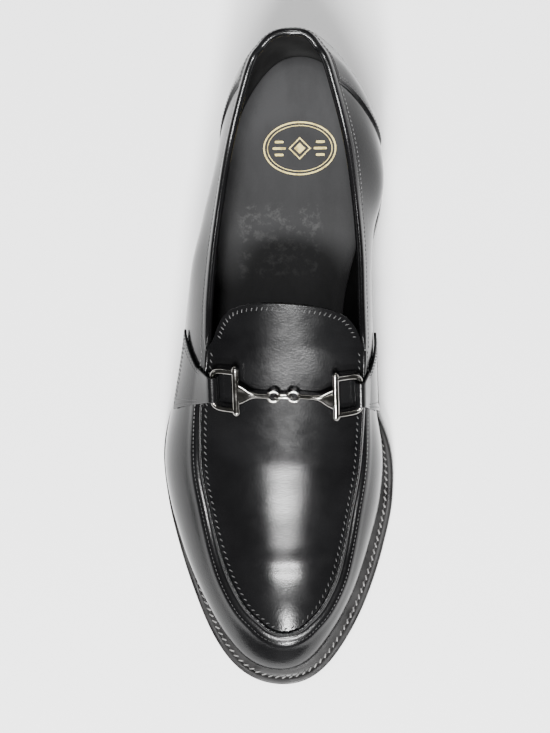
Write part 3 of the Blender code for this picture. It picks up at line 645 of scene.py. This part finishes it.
calf, calf_shader = new_material("polished_black_calf", (0.003, 0.003, 0.0033), 0.2)
tone = texture(calf, "ShaderNodeTexNoise", 34, Detail=5.0)
deep_black, soft_black = (0.002, 0.002, 0.0022), (0.0045, 0.0045, 0.0048)
ramp(calf, tone.outputs[0], calf_shader.inputs["Base Color"], deep_black, soft_black)
cloud = texture(calf, "ShaderNodeTexNoise", 120, Detail=6.0, Roughness=0.6)
ramp(calf, cloud.outputs[0], calf_shader.inputs["Roughness"], 0.18, 0.23)
grain = texture(calf, "ShaderNodeTexVoronoi", 1300)
grain_bump = bump(calf, calf_shader, grain.outputs[0], 0.022)
ripple = texture(calf, "ShaderNodeTexNoise", 75, Detail=3.0)
bump(calf, calf_shader, ripple.outputs[0], 0.05, grain_bump)
calf_shader.inputs["IOR"].default_value = 1.28
calf_shader.inputs["Coat Weight"].default_value = 0.03
calf_shader.inputs["Coat Roughness"].default_value = 0.1

lining, lining_shader = new_material("matt_lining", (0.005, 0.005, 0.0052), 0.62)
lining_shader.inputs["Specular IOR Level"].default_value = 0.15
lining_tone = texture(lining, "ShaderNodeTexNoise", 60, Detail=5.0)
ramp(lining, lining_tone.outputs[0], lining_shader.inputs["Base Color"], (0.003,) * 3, (0.008,) * 3)
lining_pores = texture(lining, "ShaderNodeTexNoise", 1500, Detail=2.0)
bump(lining, lining_shader, lining_pores.outputs[0], 0.05)

wall_angles = np.linspace(0, 360, 541)[:-1]
seam_steps = [counter_angle + offset for offset in (-0.15, -0.05, 0.05, 0.15, 0.35, 0.6)]
wall_angles = np.unique(np.concatenate([wall_angles, seam_steps, [360 - angle for angle in seam_steps]]))
wall_levels = np.concatenate([np.linspace(0, 0.76, 26)[:-1], np.linspace(0.76, 1.0, 27)])
grid_angles, grid_levels = np.meshgrid(wall_angles, wall_levels)
wall_grid, _ = skin(grid_angles, grid_levels)
lasted_foot = wall_grid[0] - np.array([0.0, 0.0, WELT])
wall_grid = np.concatenate([lasted_foot[None], wall_grid])
wall_faces = sheet_faces(len(wall_grid), len(wall_angles), wrap=True, turned=True)
wall = make_piece("calf_wall", wall_grid, wall_faces, calf, crease=60)


def thicken(piece, thickness):
    """Leather thickness inwards from the face that shows, with lining leather on its inside."""
    piece.data.materials.append(lining)
    leather = piece.modifiers.new("leather_thickness", "SOLIDIFY")
    leather.thickness = thickness * MM
    leather.offset = -1.0
    leather.material_offset = 1


thicken(wall, UPPER_WALL)
fit(wall, "upper_leather", "upper")

# Apron and tongue
# One crowned piece of the same calf fills the inside of the raised seam and runs on as the tongue
# behind the bit. Wear has set two soft creases across it, with a low roll between them.
RIDGE = np.array(((-122.3, 38.0), (-110, 42.6), (-96, 46.6), (-77, 51.0), (-55, 56.6),
                  (-32, 64.0), (-12, 71.4), (9, 79.0), (28, 86.4)))
TONGUE = np.array((
    (11.6, 12.2, -24.0, 41.2),
    (15.0, 16.4, -22.4, 40.4),
    (19.4, 21.2, -20.0, 38.4),
    (23.2, 25.4, -16.4, 35.2),
    (25.2, 27.4, -11.5, 30.6),
))
TONGUE_SLANT = 0.06
TONGUE_MIDDLE_X = 8.0
CREASES = ((-42.0, 7.0, 0.35), (-89.0, 5.5, 0.5), (-66.0, 11.0, -0.3))
TOE_CORNER_Y = -104.0
TONGUE_CORNERS = 2.6
APRON_LEATHER = 2.0

toe_to_root = np.linspace(180, angle_at(8.0), 260)
RIM_SAMPLES = {1: rim_point(toe_to_root), -1: rim_point(360 - toe_to_root)}


def rim_x(y, side):
    """The rim's x on one side at this y."""
    samples = RIM_SAMPLES[side]
    return np.interp(y, samples[:, 1], samples[:, 0])


def crown_height(x, y):
    """Height of the vamp or tongue: the ridge in the middle, the seam at the edges, and its creases."""
    at = np.minimum(y, TONGUE_ROOT_Y)
    middle = (rim_x(at, -1) + rim_x(at, 1)) / 2
    half = np.maximum((rim_x(at, 1) - rim_x(at, -1)) / 2, 1.0)
    seam = np.interp(at, RIM_SAMPLES[1][:, 1], RIM_SAMPLES[1][:, 2])
    drop = smooth(RIDGE[:, 0], RIDGE[:, 1], at) - seam
    part = np.minimum(1.0, abs(x - middle) / half)
    height = smooth(RIDGE[:, 0], RIDGE[:, 1], y) - drop * part ** 2
    for crease_y, width, depth in CREASES:
        bow = y - crease_y - 4.0 * part ** 2
        height = height - depth * np.exp(-(bow / width) ** 2) * fade(part, 0.97, 0.6)
    return height


def crown_frame(x, y, lift):
    """A place above the vamp: its point, and unit vectors across, along and out of the leather."""
    step = 1.0
    slope_x = (crown_height(x + step, y) - crown_height(x - step, y)) / (2 * step)
    slope_y = (crown_height(x, y + step) - crown_height(x, y - step)) / (2 * step)
    out = np.array([-slope_x, -slope_y, 1.0])
    out /= np.linalg.norm(out)
    along = np.array([0.0, 1.0, slope_y])
    along /= np.linalg.norm(along)
    return np.array([x, y, crown_height(x, y)]) + out * lift, np.cross(along, out), along, out


outer_corner, inner_corner = seam_angles(TOE_CORNER_Y)
side_parts = np.linspace(0, 1, 110)
across = np.sin(np.linspace(-math.pi / 2, math.pi / 2, 63))
inner_side = rim_point(inner_corner + (inner_root - inner_corner) * side_parts)[:, :2]
outer_side = rim_point(outer_corner + (outer_root - outer_corner) * side_parts)[:, :2]
toe_arc = rim_point(180 - (180 - inner_corner) * across)[:, :2]
u = ((across + 1) / 2)[None, :, None]
v = side_parts[:, None, None]
edges = outer_side[:, None] * (1 - u) + inner_side[:, None] * u
corner_line = outer_side[0] * (1 - u) + inner_side[0] * u
apron_plan = edges + (1 - v) * (toe_arc[None] - corner_line)
tongue_parts = np.linspace(0, 1, 34)[1:]
tongue_rows = np.arange(len(TONGUE) + 1) / len(TONGUE)
root_row = apron_plan[-1]
tongue_root = (root_row[0, 1], root_row[len(across) // 2, 1], outer_side[-1, 0], inner_side[-1, 0])
tongue_table = np.concatenate([[tongue_root], TONGUE])
side_y, middle_y, outer_x, inner_x = (
    smooth(tongue_rows, column, tongue_parts) for column in tongue_table.T)
tongue_x = outer_x[:, None] + (inner_x - outer_x)[:, None] * (across + 1) / 2
tongue_y = middle_y[:, None] + (side_y - middle_y)[:, None] * abs(across) ** TONGUE_CORNERS
tongue_y -= TONGUE_SLANT * tongue_parts[:, None] * (tongue_x - TONGUE_MIDDLE_X)
tongue_plan = np.stack([tongue_x, tongue_y], axis=-1)
plug_plan = np.concatenate([apron_plan, tongue_plan])
plug_grid = np.dstack([plug_plan, crown_height(plug_plan[..., 0], plug_plan[..., 1])])
plug = make_piece("calf_apron", plug_grid, sheet_faces(*plug_grid.shape[:2]), calf, crease=60)
thicken(plug, APRON_LEATHER)
fit(plug, "upper_leather")

# Raised apron seam
# The edges of apron and vamp are brought up together and sewn through, which leaves a crisp ridge
# about a millimetre high. Small stitches show inside it and a finer row runs outside the channel.
SEAM_RIDGE = 1.3
SEAM_SECTION = (
    (-1.25, -1.2), (-1.05, 0.1), (-0.8, 0.85), (-0.35, SEAM_RIDGE), (0.1, SEAM_RIDGE - 0.05),
    (0.45, 0.75), (0.75, -0.1), (0.95, -1.4),
)
SEAM_PULL = 0.16
SEAM_STITCH = {"pitch": 3.0, "length": 1.9, "radius": 0.3, "lean": 35.0}
FINE_STITCH = {"pitch": 2.0, "length": 1.3, "radius": 0.22}
ROW_INSIDE_SEAM = 2.3
ROW_OUTSIDE_CHANNEL = 1.3
MIDDLE_OF_APRON = np.array([4.8, -60.0, 50.0])


def band(path, ups, outs, section):
    """Points and faces of a strip along a path, with a section of (out, up) offsets, closed round."""
    rows = [path + outs * out + ups * up for out, up in section]
    grid = np.stack(rows, axis=1)
    faces = sheet_faces(grid.shape[0], grid.shape[1], wrap=True)
    count = len(section)
    last = grid.shape[0] * count - count
    faces.append(tuple(reversed(range(count))))
    faces.append(tuple(range(last, last + count)))
    return grid.reshape(-1, 3), faces


def unit(vectors):
    """Vectors scaled to a length of one."""
    return vectors / np.linalg.norm(vectors, axis=-1, keepdims=True)


def plan_outs(path):
    """Level directions to the right of a path."""
    ahead = np.gradient(path, axis=0)
    return unit(np.stack([ahead[:, 1], -ahead[:, 0], np.zeros(len(path))], axis=1))


seam_run = np.linspace(inner_root + 0.6, outer_root - 0.6, 900)
seam_path = rim_point(seam_run)
seam_out = plan_outs(seam_path)
seam_out *= np.sign(np.sum(seam_out * (seam_path - MIDDLE_OF_APRON), axis=1, keepdims=True))
seam_up = np.tile([0.0, 0.0, 1.0], (len(seam_path), 1))
stand = fade(seam_path[:, 1], 4.0, -10.0)[:, None]
seam_length = np.concatenate([[0], np.cumsum(np.linalg.norm(np.diff(seam_path, axis=0), axis=1))])
pull = SEAM_PULL * np.cos(2 * math.pi * seam_length / SEAM_STITCH["pitch"])[:, None]
stand = stand * (1 + pull)
seam_piece = band(seam_path, seam_up * (0.25 + 0.75 * stand), seam_out, SEAM_SECTION)
fit(make_piece("apron_seam", *seam_piece, calf, crease=65), "upper_leather")

black_thread, black_shader = new_material("black_thread", (0.03, 0.03, 0.031), 0.42)
strands = texture(black_thread, "ShaderNodeTexNoise", 1200, Detail=2.0)
ramp(black_thread, strands.outputs[0], black_shader.inputs["Base Color"], (0.008,) * 3, (0.035,) * 3)
inside = seam_path - seam_out * ROW_INSIDE_SEAM
inside[:, 2] = crown_height(inside[:, 0], inside[:, 1]) + 0.1
channel_level = below_rim(seam_run, channel_width(seam_path[:, 1]) + ROW_OUTSIDE_CHANNEL)
outside, outside_normal = skin(seam_run, channel_level)
fit(make_piece("apron_stitches", *gather(
    sew(inside, seam_up - seam_out * 0.2, **SEAM_STITCH),
    sew(outside + outside_normal * 0.03, outside_normal, **FINE_STITCH),
), black_thread), "upper_leather")

# Collar
# The topline is bound: a strip of thin calf is turned over the edge and cemented down. A row of fine
# stitches runs 5.6 mm below it, and the counter's slanting edge has two rows of its own.
COLLAR_SECTION = (
    (0.1, -3.4), (0.6, -3.2), (0.8, -2.5), (0.75, -1.2), (0.85, -0.2), (0.45, 0.6), (-0.3, 0.95),
    (-1.2, 1.0), (-2.1, 0.65), (-2.75, -0.2), (-2.9, -1.4), (-2.8, -3.4), (-2.0, -3.5),
)
ROW_BELOW_TOPLINE = 5.6
ROW_ANGLES_AT_COUNTER = (-0.45, -1.15)

collar_run = np.linspace(outer_root - 360 - 0.4, inner_root + 0.4, 460)
collar_path = rim_point(collar_run)
collar_out = np.concatenate([outward(collar_run), np.zeros((len(collar_run), 1))], axis=1)
collar_tilt = unit(collar_path - wall_point(collar_run, np.full(len(collar_run), 0.96)))
collar_out = unit(collar_out - collar_tilt * np.sum(collar_out * collar_tilt, axis=1, keepdims=True))
taper = fade(np.minimum(collar_run - collar_run[0], collar_run[-1] - collar_run), 0.0, 2.5)[:, None]
collar_piece = band(collar_path, collar_tilt * (0.3 + 0.7 * taper), collar_out, COLLAR_SECTION)
fit(make_piece("bound_collar", *collar_piece, calf, crease=65), "upper_leather")

topline, topline_normal = skin(collar_run, below_rim(collar_run, ROW_BELOW_TOPLINE))
collar_lines = [sew(topline + topline_normal * 0.04, topline_normal, **FINE_STITCH)]
seam_levels = np.linspace(0.03, 0.93, 60)
for side in (1, -1):
    for offset in ROW_ANGLES_AT_COUNTER:
        seam_at = np.full(len(seam_levels), side * (counter_angle + offset)) % 360
        collar_lines.append(sew(*skin(seam_at, seam_levels), **FINE_STITCH))
fit(make_piece("collar_stitches", *gather(*collar_lines), black_thread), "upper_leather")

# Tongue edge
# The tongue's free edge is folded under and held by short slanting stitches of black thread. They go
# up one side, round the tip and down the other, about two millimetres in from the edge.
WHIP_STITCH = {"pitch": 2.3, "length": 1.9, "radius": 0.28, "lean": 68.0, "skip": 3.0}
WHIP_INSET = 2.2
SEWN_ROWS = 30
TONGUE_MIDDLE = np.array([10.5, 6.0, 76.0])

tongue_sides = plug_grid[-SEWN_ROWS:]
edge_path = np.concatenate([tongue_sides[:, 1], plug_grid[-1, 2:-2], tongue_sides[::-1, -2]])
toward = unit((TONGUE_MIDDLE - edge_path) * (1.0, 1.0, 0.0))
whip_path = edge_path + toward * WHIP_INSET
whip_path[:, 2] = crown_height(whip_path[:, 0], whip_path[:, 1]) + 0.08
whip_up = np.tile([0.0, 0.0, 1.0], (len(whip_path), 1))
whip_stitches = sew(whip_path, whip_up, **WHIP_STITCH)
fit(make_piece("tongue_stitches", *whip_stitches, black_thread), "upper_leather")

# Saddle straps
# Each strap is cut from calf as a wing that is sewn to the side wall with two rows of stitches. It
# narrows upwards and folds round the bit's outer bar.
STRAP = 1.2
STRAP_GAP = 0.4
BIT_LIFT = 3.5
BIT_WIRE = 1.2
STRAP_BIT_HALF_WIDTH = 5.9
STRAP_NECK_HALF_WIDTH = 8.2
STRAP_NECK_LEVEL = 0.92
STRAP_TAIL = 1.4
SKIVED_EDGE = 0.4
STITCH_COLUMNS_AND_ROWS = ((2, 1), (5, 3))
STITCHED_ROWS = 24
WINGS = {
    "lateral": {"back_y": 17.5, "front_y": -19.0, "lowest": 0.6},
    "medial": {"back_y": 16.0, "front_y": -20.0, "lowest": 0.56},
}
BIT_HALVES = {
    "lateral": {"side": -1, "bar_x": -12.7, "outer_x": -23.3, "d_y": -8.2, "eye_x": 3.0, "arm_y": -9.4},
    "medial": {"side": 1, "bar_x": 29.2, "outer_x": 40.0, "d_y": -9.9, "eye_x": 11.8, "arm_y": -10.8},
}


def wall_angle(side, level, y):
    """Angle at which the wall has this y at this level, on one side."""
    angles = np.linspace(angle_at(y + 30.0), angle_at(y - 30.0), 41)
    wall_y = wall_point(side * angles % 360, np.full(len(angles), level))[:, 1]
    return side * float(np.interp(-y, -wall_y, angles)) % 360


def strap_grid(name, parts=41):
    """Rows of points from the wing's lower edge up and round the bar."""
    wing, half = WINGS[name], BIT_HALVES[name]
    side = half["side"]
    centre, across_bar, along, out = crown_frame(half["outer_x"], half["d_y"], BIT_LIFT)
    away = across_bar * side
    loop = BIT_WIRE + STRAP_GAP
    shares = np.linspace(0, 1, parts)
    rows = []
    for rise in np.linspace(0, 1, 22):
        level = wing["lowest"] + (STRAP_NECK_LEVEL - wing["lowest"]) * rise
        waist = rise ** 0.85
        front = wing["front_y"] + (half["d_y"] - STRAP_NECK_HALF_WIDTH - wing["front_y"]) * waist
        back = wing["back_y"] + (half["d_y"] + STRAP_NECK_HALF_WIDTH - wing["back_y"]) * waist
        angles = np.array([wall_angle(side, level, front + (back - front) * share) for share in shares])
        levels = np.full(parts, level)
        rows.append(wall_point(angles, levels) + wall_normal(angles, levels) * STRAP_GAP)
    folds = []
    for turn in range(75, 271, 13):
        lean = math.radians(turn)
        folds.append(away * loop * math.cos(lean) + out * loop * math.sin(lean))
    folds.append(away * STRAP_TAIL - out * loop)
    spread = along[None] * (STRAP_BIT_HALF_WIDTH * (2 * shares - 1))[:, None]
    neck = rows[-1]
    for share in np.linspace(0, 1, 9)[1:-1]:
        rows.append(neck * (1 - share) + (centre + spread + folds[0]) * share)
    for fold in folds:
        rows.append(centre + spread + fold)
    return np.array(rows), side


def stitch_line(values, column, row):
    """A strap's points or normals along one row of stitches: down an edge, across the wing and up."""
    return np.concatenate([values[STITCHED_ROWS - 1:row:-1, column], values[row, column:-column],
                           values[row + 1:STITCHED_ROWS, -column - 1]])


strap_shapes = []
for name in WINGS:
    grid, side = strap_grid(name)
    strap_faces = sheet_faces(*grid.shape[:2], turned=side < 0)
    strap = make_piece("calf_strap_" + name, grid, strap_faces, calf, crease=50)
    leather = strap.modifiers.new("leather_thickness", "SOLIDIFY")
    leather.thickness = STRAP * MM
    leather.offset = 1.0
    rounded = strap.modifiers.new("skived_edge", "BEVEL")
    rounded.width = SKIVED_EDGE * MM
    rounded.segments = 2
    rounded.limit_method = "ANGLE"
    rounded.angle_limit = math.radians(60)
    fit(strap, "upper_leather", "strap_" + name)
    normals = unit(np.cross(np.gradient(grid, axis=1), np.gradient(grid, axis=0)))
    faces_out = np.array([side, 0.0, 0.6])
    normals *= np.sign(np.sum(normals * faces_out, axis=-1, keepdims=True))
    raised = grid + normals * (STRAP + 0.05)
    for place in STITCH_COLUMNS_AND_ROWS:
        strap_shapes.append(sew(stitch_line(raised, *place), stitch_line(normals, *place), **FINE_STITCH))
fit(make_piece("strap_stitches", *gather(*strap_shapes), black_thread), "upper_leather")

# Snaffle bit
# Two cast D rings of polished gunmetal, each with a straight bar, a flared arm and an eye, joined
# over the vamp by a small link. Each outer bar lies in its strap's loop.
EYE_Y = -11.4
EYE_SPACING = 8.8
EYE_RING = 2.35
EYE_WIRE = 0.85
LINK_WIRE = 0.55
BAR_HALF_LENGTH = 11.9
BAR_WIDTH, BAR_HEIGHT = 1.65, 1.25
BAR_POINTED_PART = 0.14
D_HALF_HEIGHT = 8.9
D_SQUARENESS = 6.0
FLARE = np.array(((0.0, 5.2, 0.9), (1.6, 4.7, 0.95), (3.2, 4.0, 1.0), (4.8, 3.1, 1.05), (6.0, 2.3, 1.1),
                  (7.2, 1.7, 1.1), (8.4, 1.3, 1.05), (10.0, 1.1, 1.0)))


def rod(path, flats, half_width, half_height, closed=False, sides=20):
    """A metal rod along a path; flats are the directions of its height, and its sizes may vary."""
    path, flats = np.asarray(path, float), np.asarray(flats, float)
    if closed:
        ahead = np.roll(path, -1, axis=0) - np.roll(path, 1, axis=0)
    else:
        ahead = np.gradient(path, axis=0)
    ahead = unit(ahead)
    flats = unit(flats - ahead * np.sum(flats * ahead, axis=1, keepdims=True))
    beside = np.cross(ahead, flats)
    half_width = np.broadcast_to(half_width, len(path))[:, None]
    half_height = np.broadcast_to(half_height, len(path))[:, None]
    columns = []
    for k in range(sides):
        turn = 2 * math.pi * k / sides
        columns.append(path + beside * half_width * math.cos(turn) + flats * half_height * math.sin(turn))
    grid = np.stack(columns, axis=1)
    if closed:
        grid = np.concatenate([grid, grid[:1]])
        return grid.reshape(-1, 3), sheet_faces(grid.shape[0], sides, wrap=True)
    faces = sheet_faces(grid.shape[0], sides, wrap=True)
    last = (grid.shape[0] - 1) * sides
    faces.append(tuple(reversed(range(sides))))
    faces.append(tuple(range(last, last + sides)))
    return grid.reshape(-1, 3), faces


gunmetal, metal_shader = new_material("polished_gunmetal", (0.2, 0.195, 0.185), 0.1, 1.0)
casting = texture(gunmetal, "ShaderNodeTexNoise", 190, Detail=4.0)
ramp(gunmetal, casting.outputs[0], metal_shader.inputs["Roughness"], 0.07, 0.16)
dark_metal, light_metal = (0.15, 0.145, 0.13), (0.27, 0.262, 0.25)
ramp(gunmetal, casting.outputs[0], metal_shader.inputs["Base Color"], dark_metal, light_metal)
bump(gunmetal, metal_shader, casting.outputs[0], 0.05)

middle_x = (BIT_HALVES["lateral"]["eye_x"] + BIT_HALVES["medial"]["eye_x"]) / 2
eye_middle, eye_across, eye_along, eye_out = crown_frame(middle_x, EYE_Y, BIT_LIFT)
for name, half in BIT_HALVES.items():
    side = half["side"]
    outer, across_bar, along, out = crown_frame(half["outer_x"], half["d_y"], BIT_LIFT)
    away = across_bar * side
    width = abs(half["outer_x"] - half["bar_x"]) / abs(away[0])
    bar = outer - away * width
    eye = eye_middle + eye_across * side * EYE_SPACING / 2
    turn = np.radians(np.linspace(-90, 90, 73))
    power = 2 / D_SQUARENESS
    reach = width * abs(np.cos(turn)) ** power
    height = D_HALF_HEIGHT * np.sign(np.sin(turn)) * abs(np.sin(turn)) ** power
    bow = bar + away * reach[:, None] + along * height[:, None]
    bow_rod = rod(bow, np.tile(out, (len(bow), 1)), BIT_WIRE, BIT_WIRE)
    along_bar = np.linspace(-1, 1, 41)
    bar_path = bar + along * (along_bar * BAR_HALF_LENGTH)[:, None]
    point = np.clip((1 - abs(along_bar)) / BAR_POINTED_PART, 0.02, 1.0) ** 0.55
    bar_rod = rod(bar_path, np.tile(out, (len(bar_path), 1)), BAR_WIDTH * point, BAR_HEIGHT * point)
    start = bar + along * (half["arm_y"] - half["d_y"]) / along[1]
    stop = eye + eye_across * side * EYE_RING
    shares = np.linspace(0, 1, 36)
    lengths = shares * np.linalg.norm(stop - start)
    arm_path = start + (stop - start) * shares[:, None]
    arm_ups = out * (1 - shares[:, None]) + eye_out * shares[:, None]
    arm_rod = rod(arm_path, arm_ups, np.interp(lengths, FLARE[:, 0], FLARE[:, 1]),
                  np.interp(lengths, FLARE[:, 0], FLARE[:, 2]))
    turn = np.linspace(0, 2 * math.pi, 40, endpoint=False)
    circle = eye + (eye_across * np.cos(turn)[:, None] + eye_along * np.sin(turn)[:, None]) * EYE_RING
    eye_rod = rod(circle, np.tile(eye_out, (len(circle), 1)), EYE_WIRE, EYE_WIRE, closed=True, sides=14)
    cast = gather(bow_rod, bar_rod, arm_rod, eye_rod)
    fit(make_piece("cast_d_ring_" + name, *cast, gunmetal, crease=55), "bit_steel", "bit_" + name)

clear = EYE_WIRE + CLEARANCE + LINK_WIRE
reach = EYE_SPACING / 2 - EYE_RING
link_path = []
for end in (1, -1):
    for turn in np.radians(np.linspace(-90, 90, 15)):
        link_path.append(eye_middle + eye_across * end * (reach + clear * math.cos(turn))
                         + eye_out * end * clear * math.sin(turn))
link_flats = np.tile(eye_along, (len(link_path), 1))
link_rod = rod(link_path, link_flats, LINK_WIRE, LINK_WIRE, closed=True, sides=12)
fit(make_piece("bit_link_ring", *link_rod, gunmetal), "bit_steel", "bit_link")

# Floor, light and camera
# A matt, pale floor. Two oval lamps in front of the toe make the leather's highlights, and weak ones
# fill in from above, from both sides and from behind. The camera looks down from over the shoe's
# big-toe side.
FLOOR_HALF = 4000.0
FLOOR_HEIGHT = -0.2

floor_finish, floor_shader = new_material("pale_floor", (0.93, 0.93, 0.93), 0.8)
paper = texture(floor_finish, "ShaderNodeTexNoise", 4.0, Detail=2.0)
shaded_floor, plain_floor = (0.92, 0.92, 0.925), (0.94, 0.94, 0.94)
ramp(floor_finish, paper.outputs[0], floor_shader.inputs["Base Color"], shaded_floor, plain_floor)
floor_corners = [(x * FLOOR_HALF, y * FLOOR_HALF, FLOOR_HEIGHT)
                 for x, y in ((-1, -1), (1, -1), (1, 1), (-1, 1))]
floor = make_piece("floor", floor_corners, [(0, 1, 2, 3)], floor_finish)

world = bpy.data.worlds.new("studio")
bpy.context.scene.world = world
world.use_nodes = True
studio_air = world.node_tree.nodes["Background"]
studio_air.inputs["Color"].default_value = (1.0, 1.0, 1.0, 1.0)
studio_air.inputs["Strength"].default_value = 0.12


def soft_light(name, place, target, size, power):
    """An oval studio light that points at a place, all in metres and watts."""
    lamp = bpy.data.lights.new(name, "AREA")
    lamp.shape = "ELLIPSE"
    lamp.size, lamp.size_y = size
    lamp.energy = power
    holder = bpy.data.objects.new(name, lamp)
    holder.location = place
    holder.rotation_euler = (Vector(target) - Vector(place)).to_track_quat("-Z", "Y").to_euler()
    bpy.context.scene.collection.objects.link(holder)


soft_light("toe_light", (0.04, -1.5, 2.62), (0.0, -0.06, 0.04), (1.3, 0.42), 225.0)
soft_light("low_light", (0.0, -2.0, 1.45), (0.0, -0.1, 0.04), (0.35, 0.16), 90.0)
soft_light("top_light", (0.0, 0.3, 2.6), (0.0, 0.04, 0.0), (0.4, 0.8), 40.0)
soft_light("left_light", (-1.1, 0.2, 0.6), (0.0, 0.0, 0.03), (0.6, 0.14), 1.0)
soft_light("right_light", (1.15, 0.1, 0.62), (0.0, 0.0, 0.03), (0.6, 0.12), 1.0)
soft_light("heel_light", (0.1, 1.2, 0.5), (0.0, 0.0, 0.0), (0.8, 0.3), 3.0)

CAMERA_PLACE = Vector((0.0663, -0.001, 0.817))
AIM = Vector((0.0005, -0.0005, 0.03))
camera = bpy.data.cameras.new("camera")
camera.sensor_fit = "VERTICAL"
camera.sensor_height = 24.0
camera.lens = 55.66
camera.clip_start = 0.01
camera_holder = bpy.data.objects.new("camera", camera)
back = (CAMERA_PLACE - AIM).normalized()
right = Vector((0.0, 1.0, 0.0)).cross(back).normalized()
top = back.cross(right)
turned = Matrix((right, top, back)).transposed().to_4x4()
camera_holder.matrix_world = Matrix.Translation(CAMERA_PLACE) @ turned
bpy.context.scene.collection.objects.link(camera_holder)
bpy.context.scene.camera = camera_holder
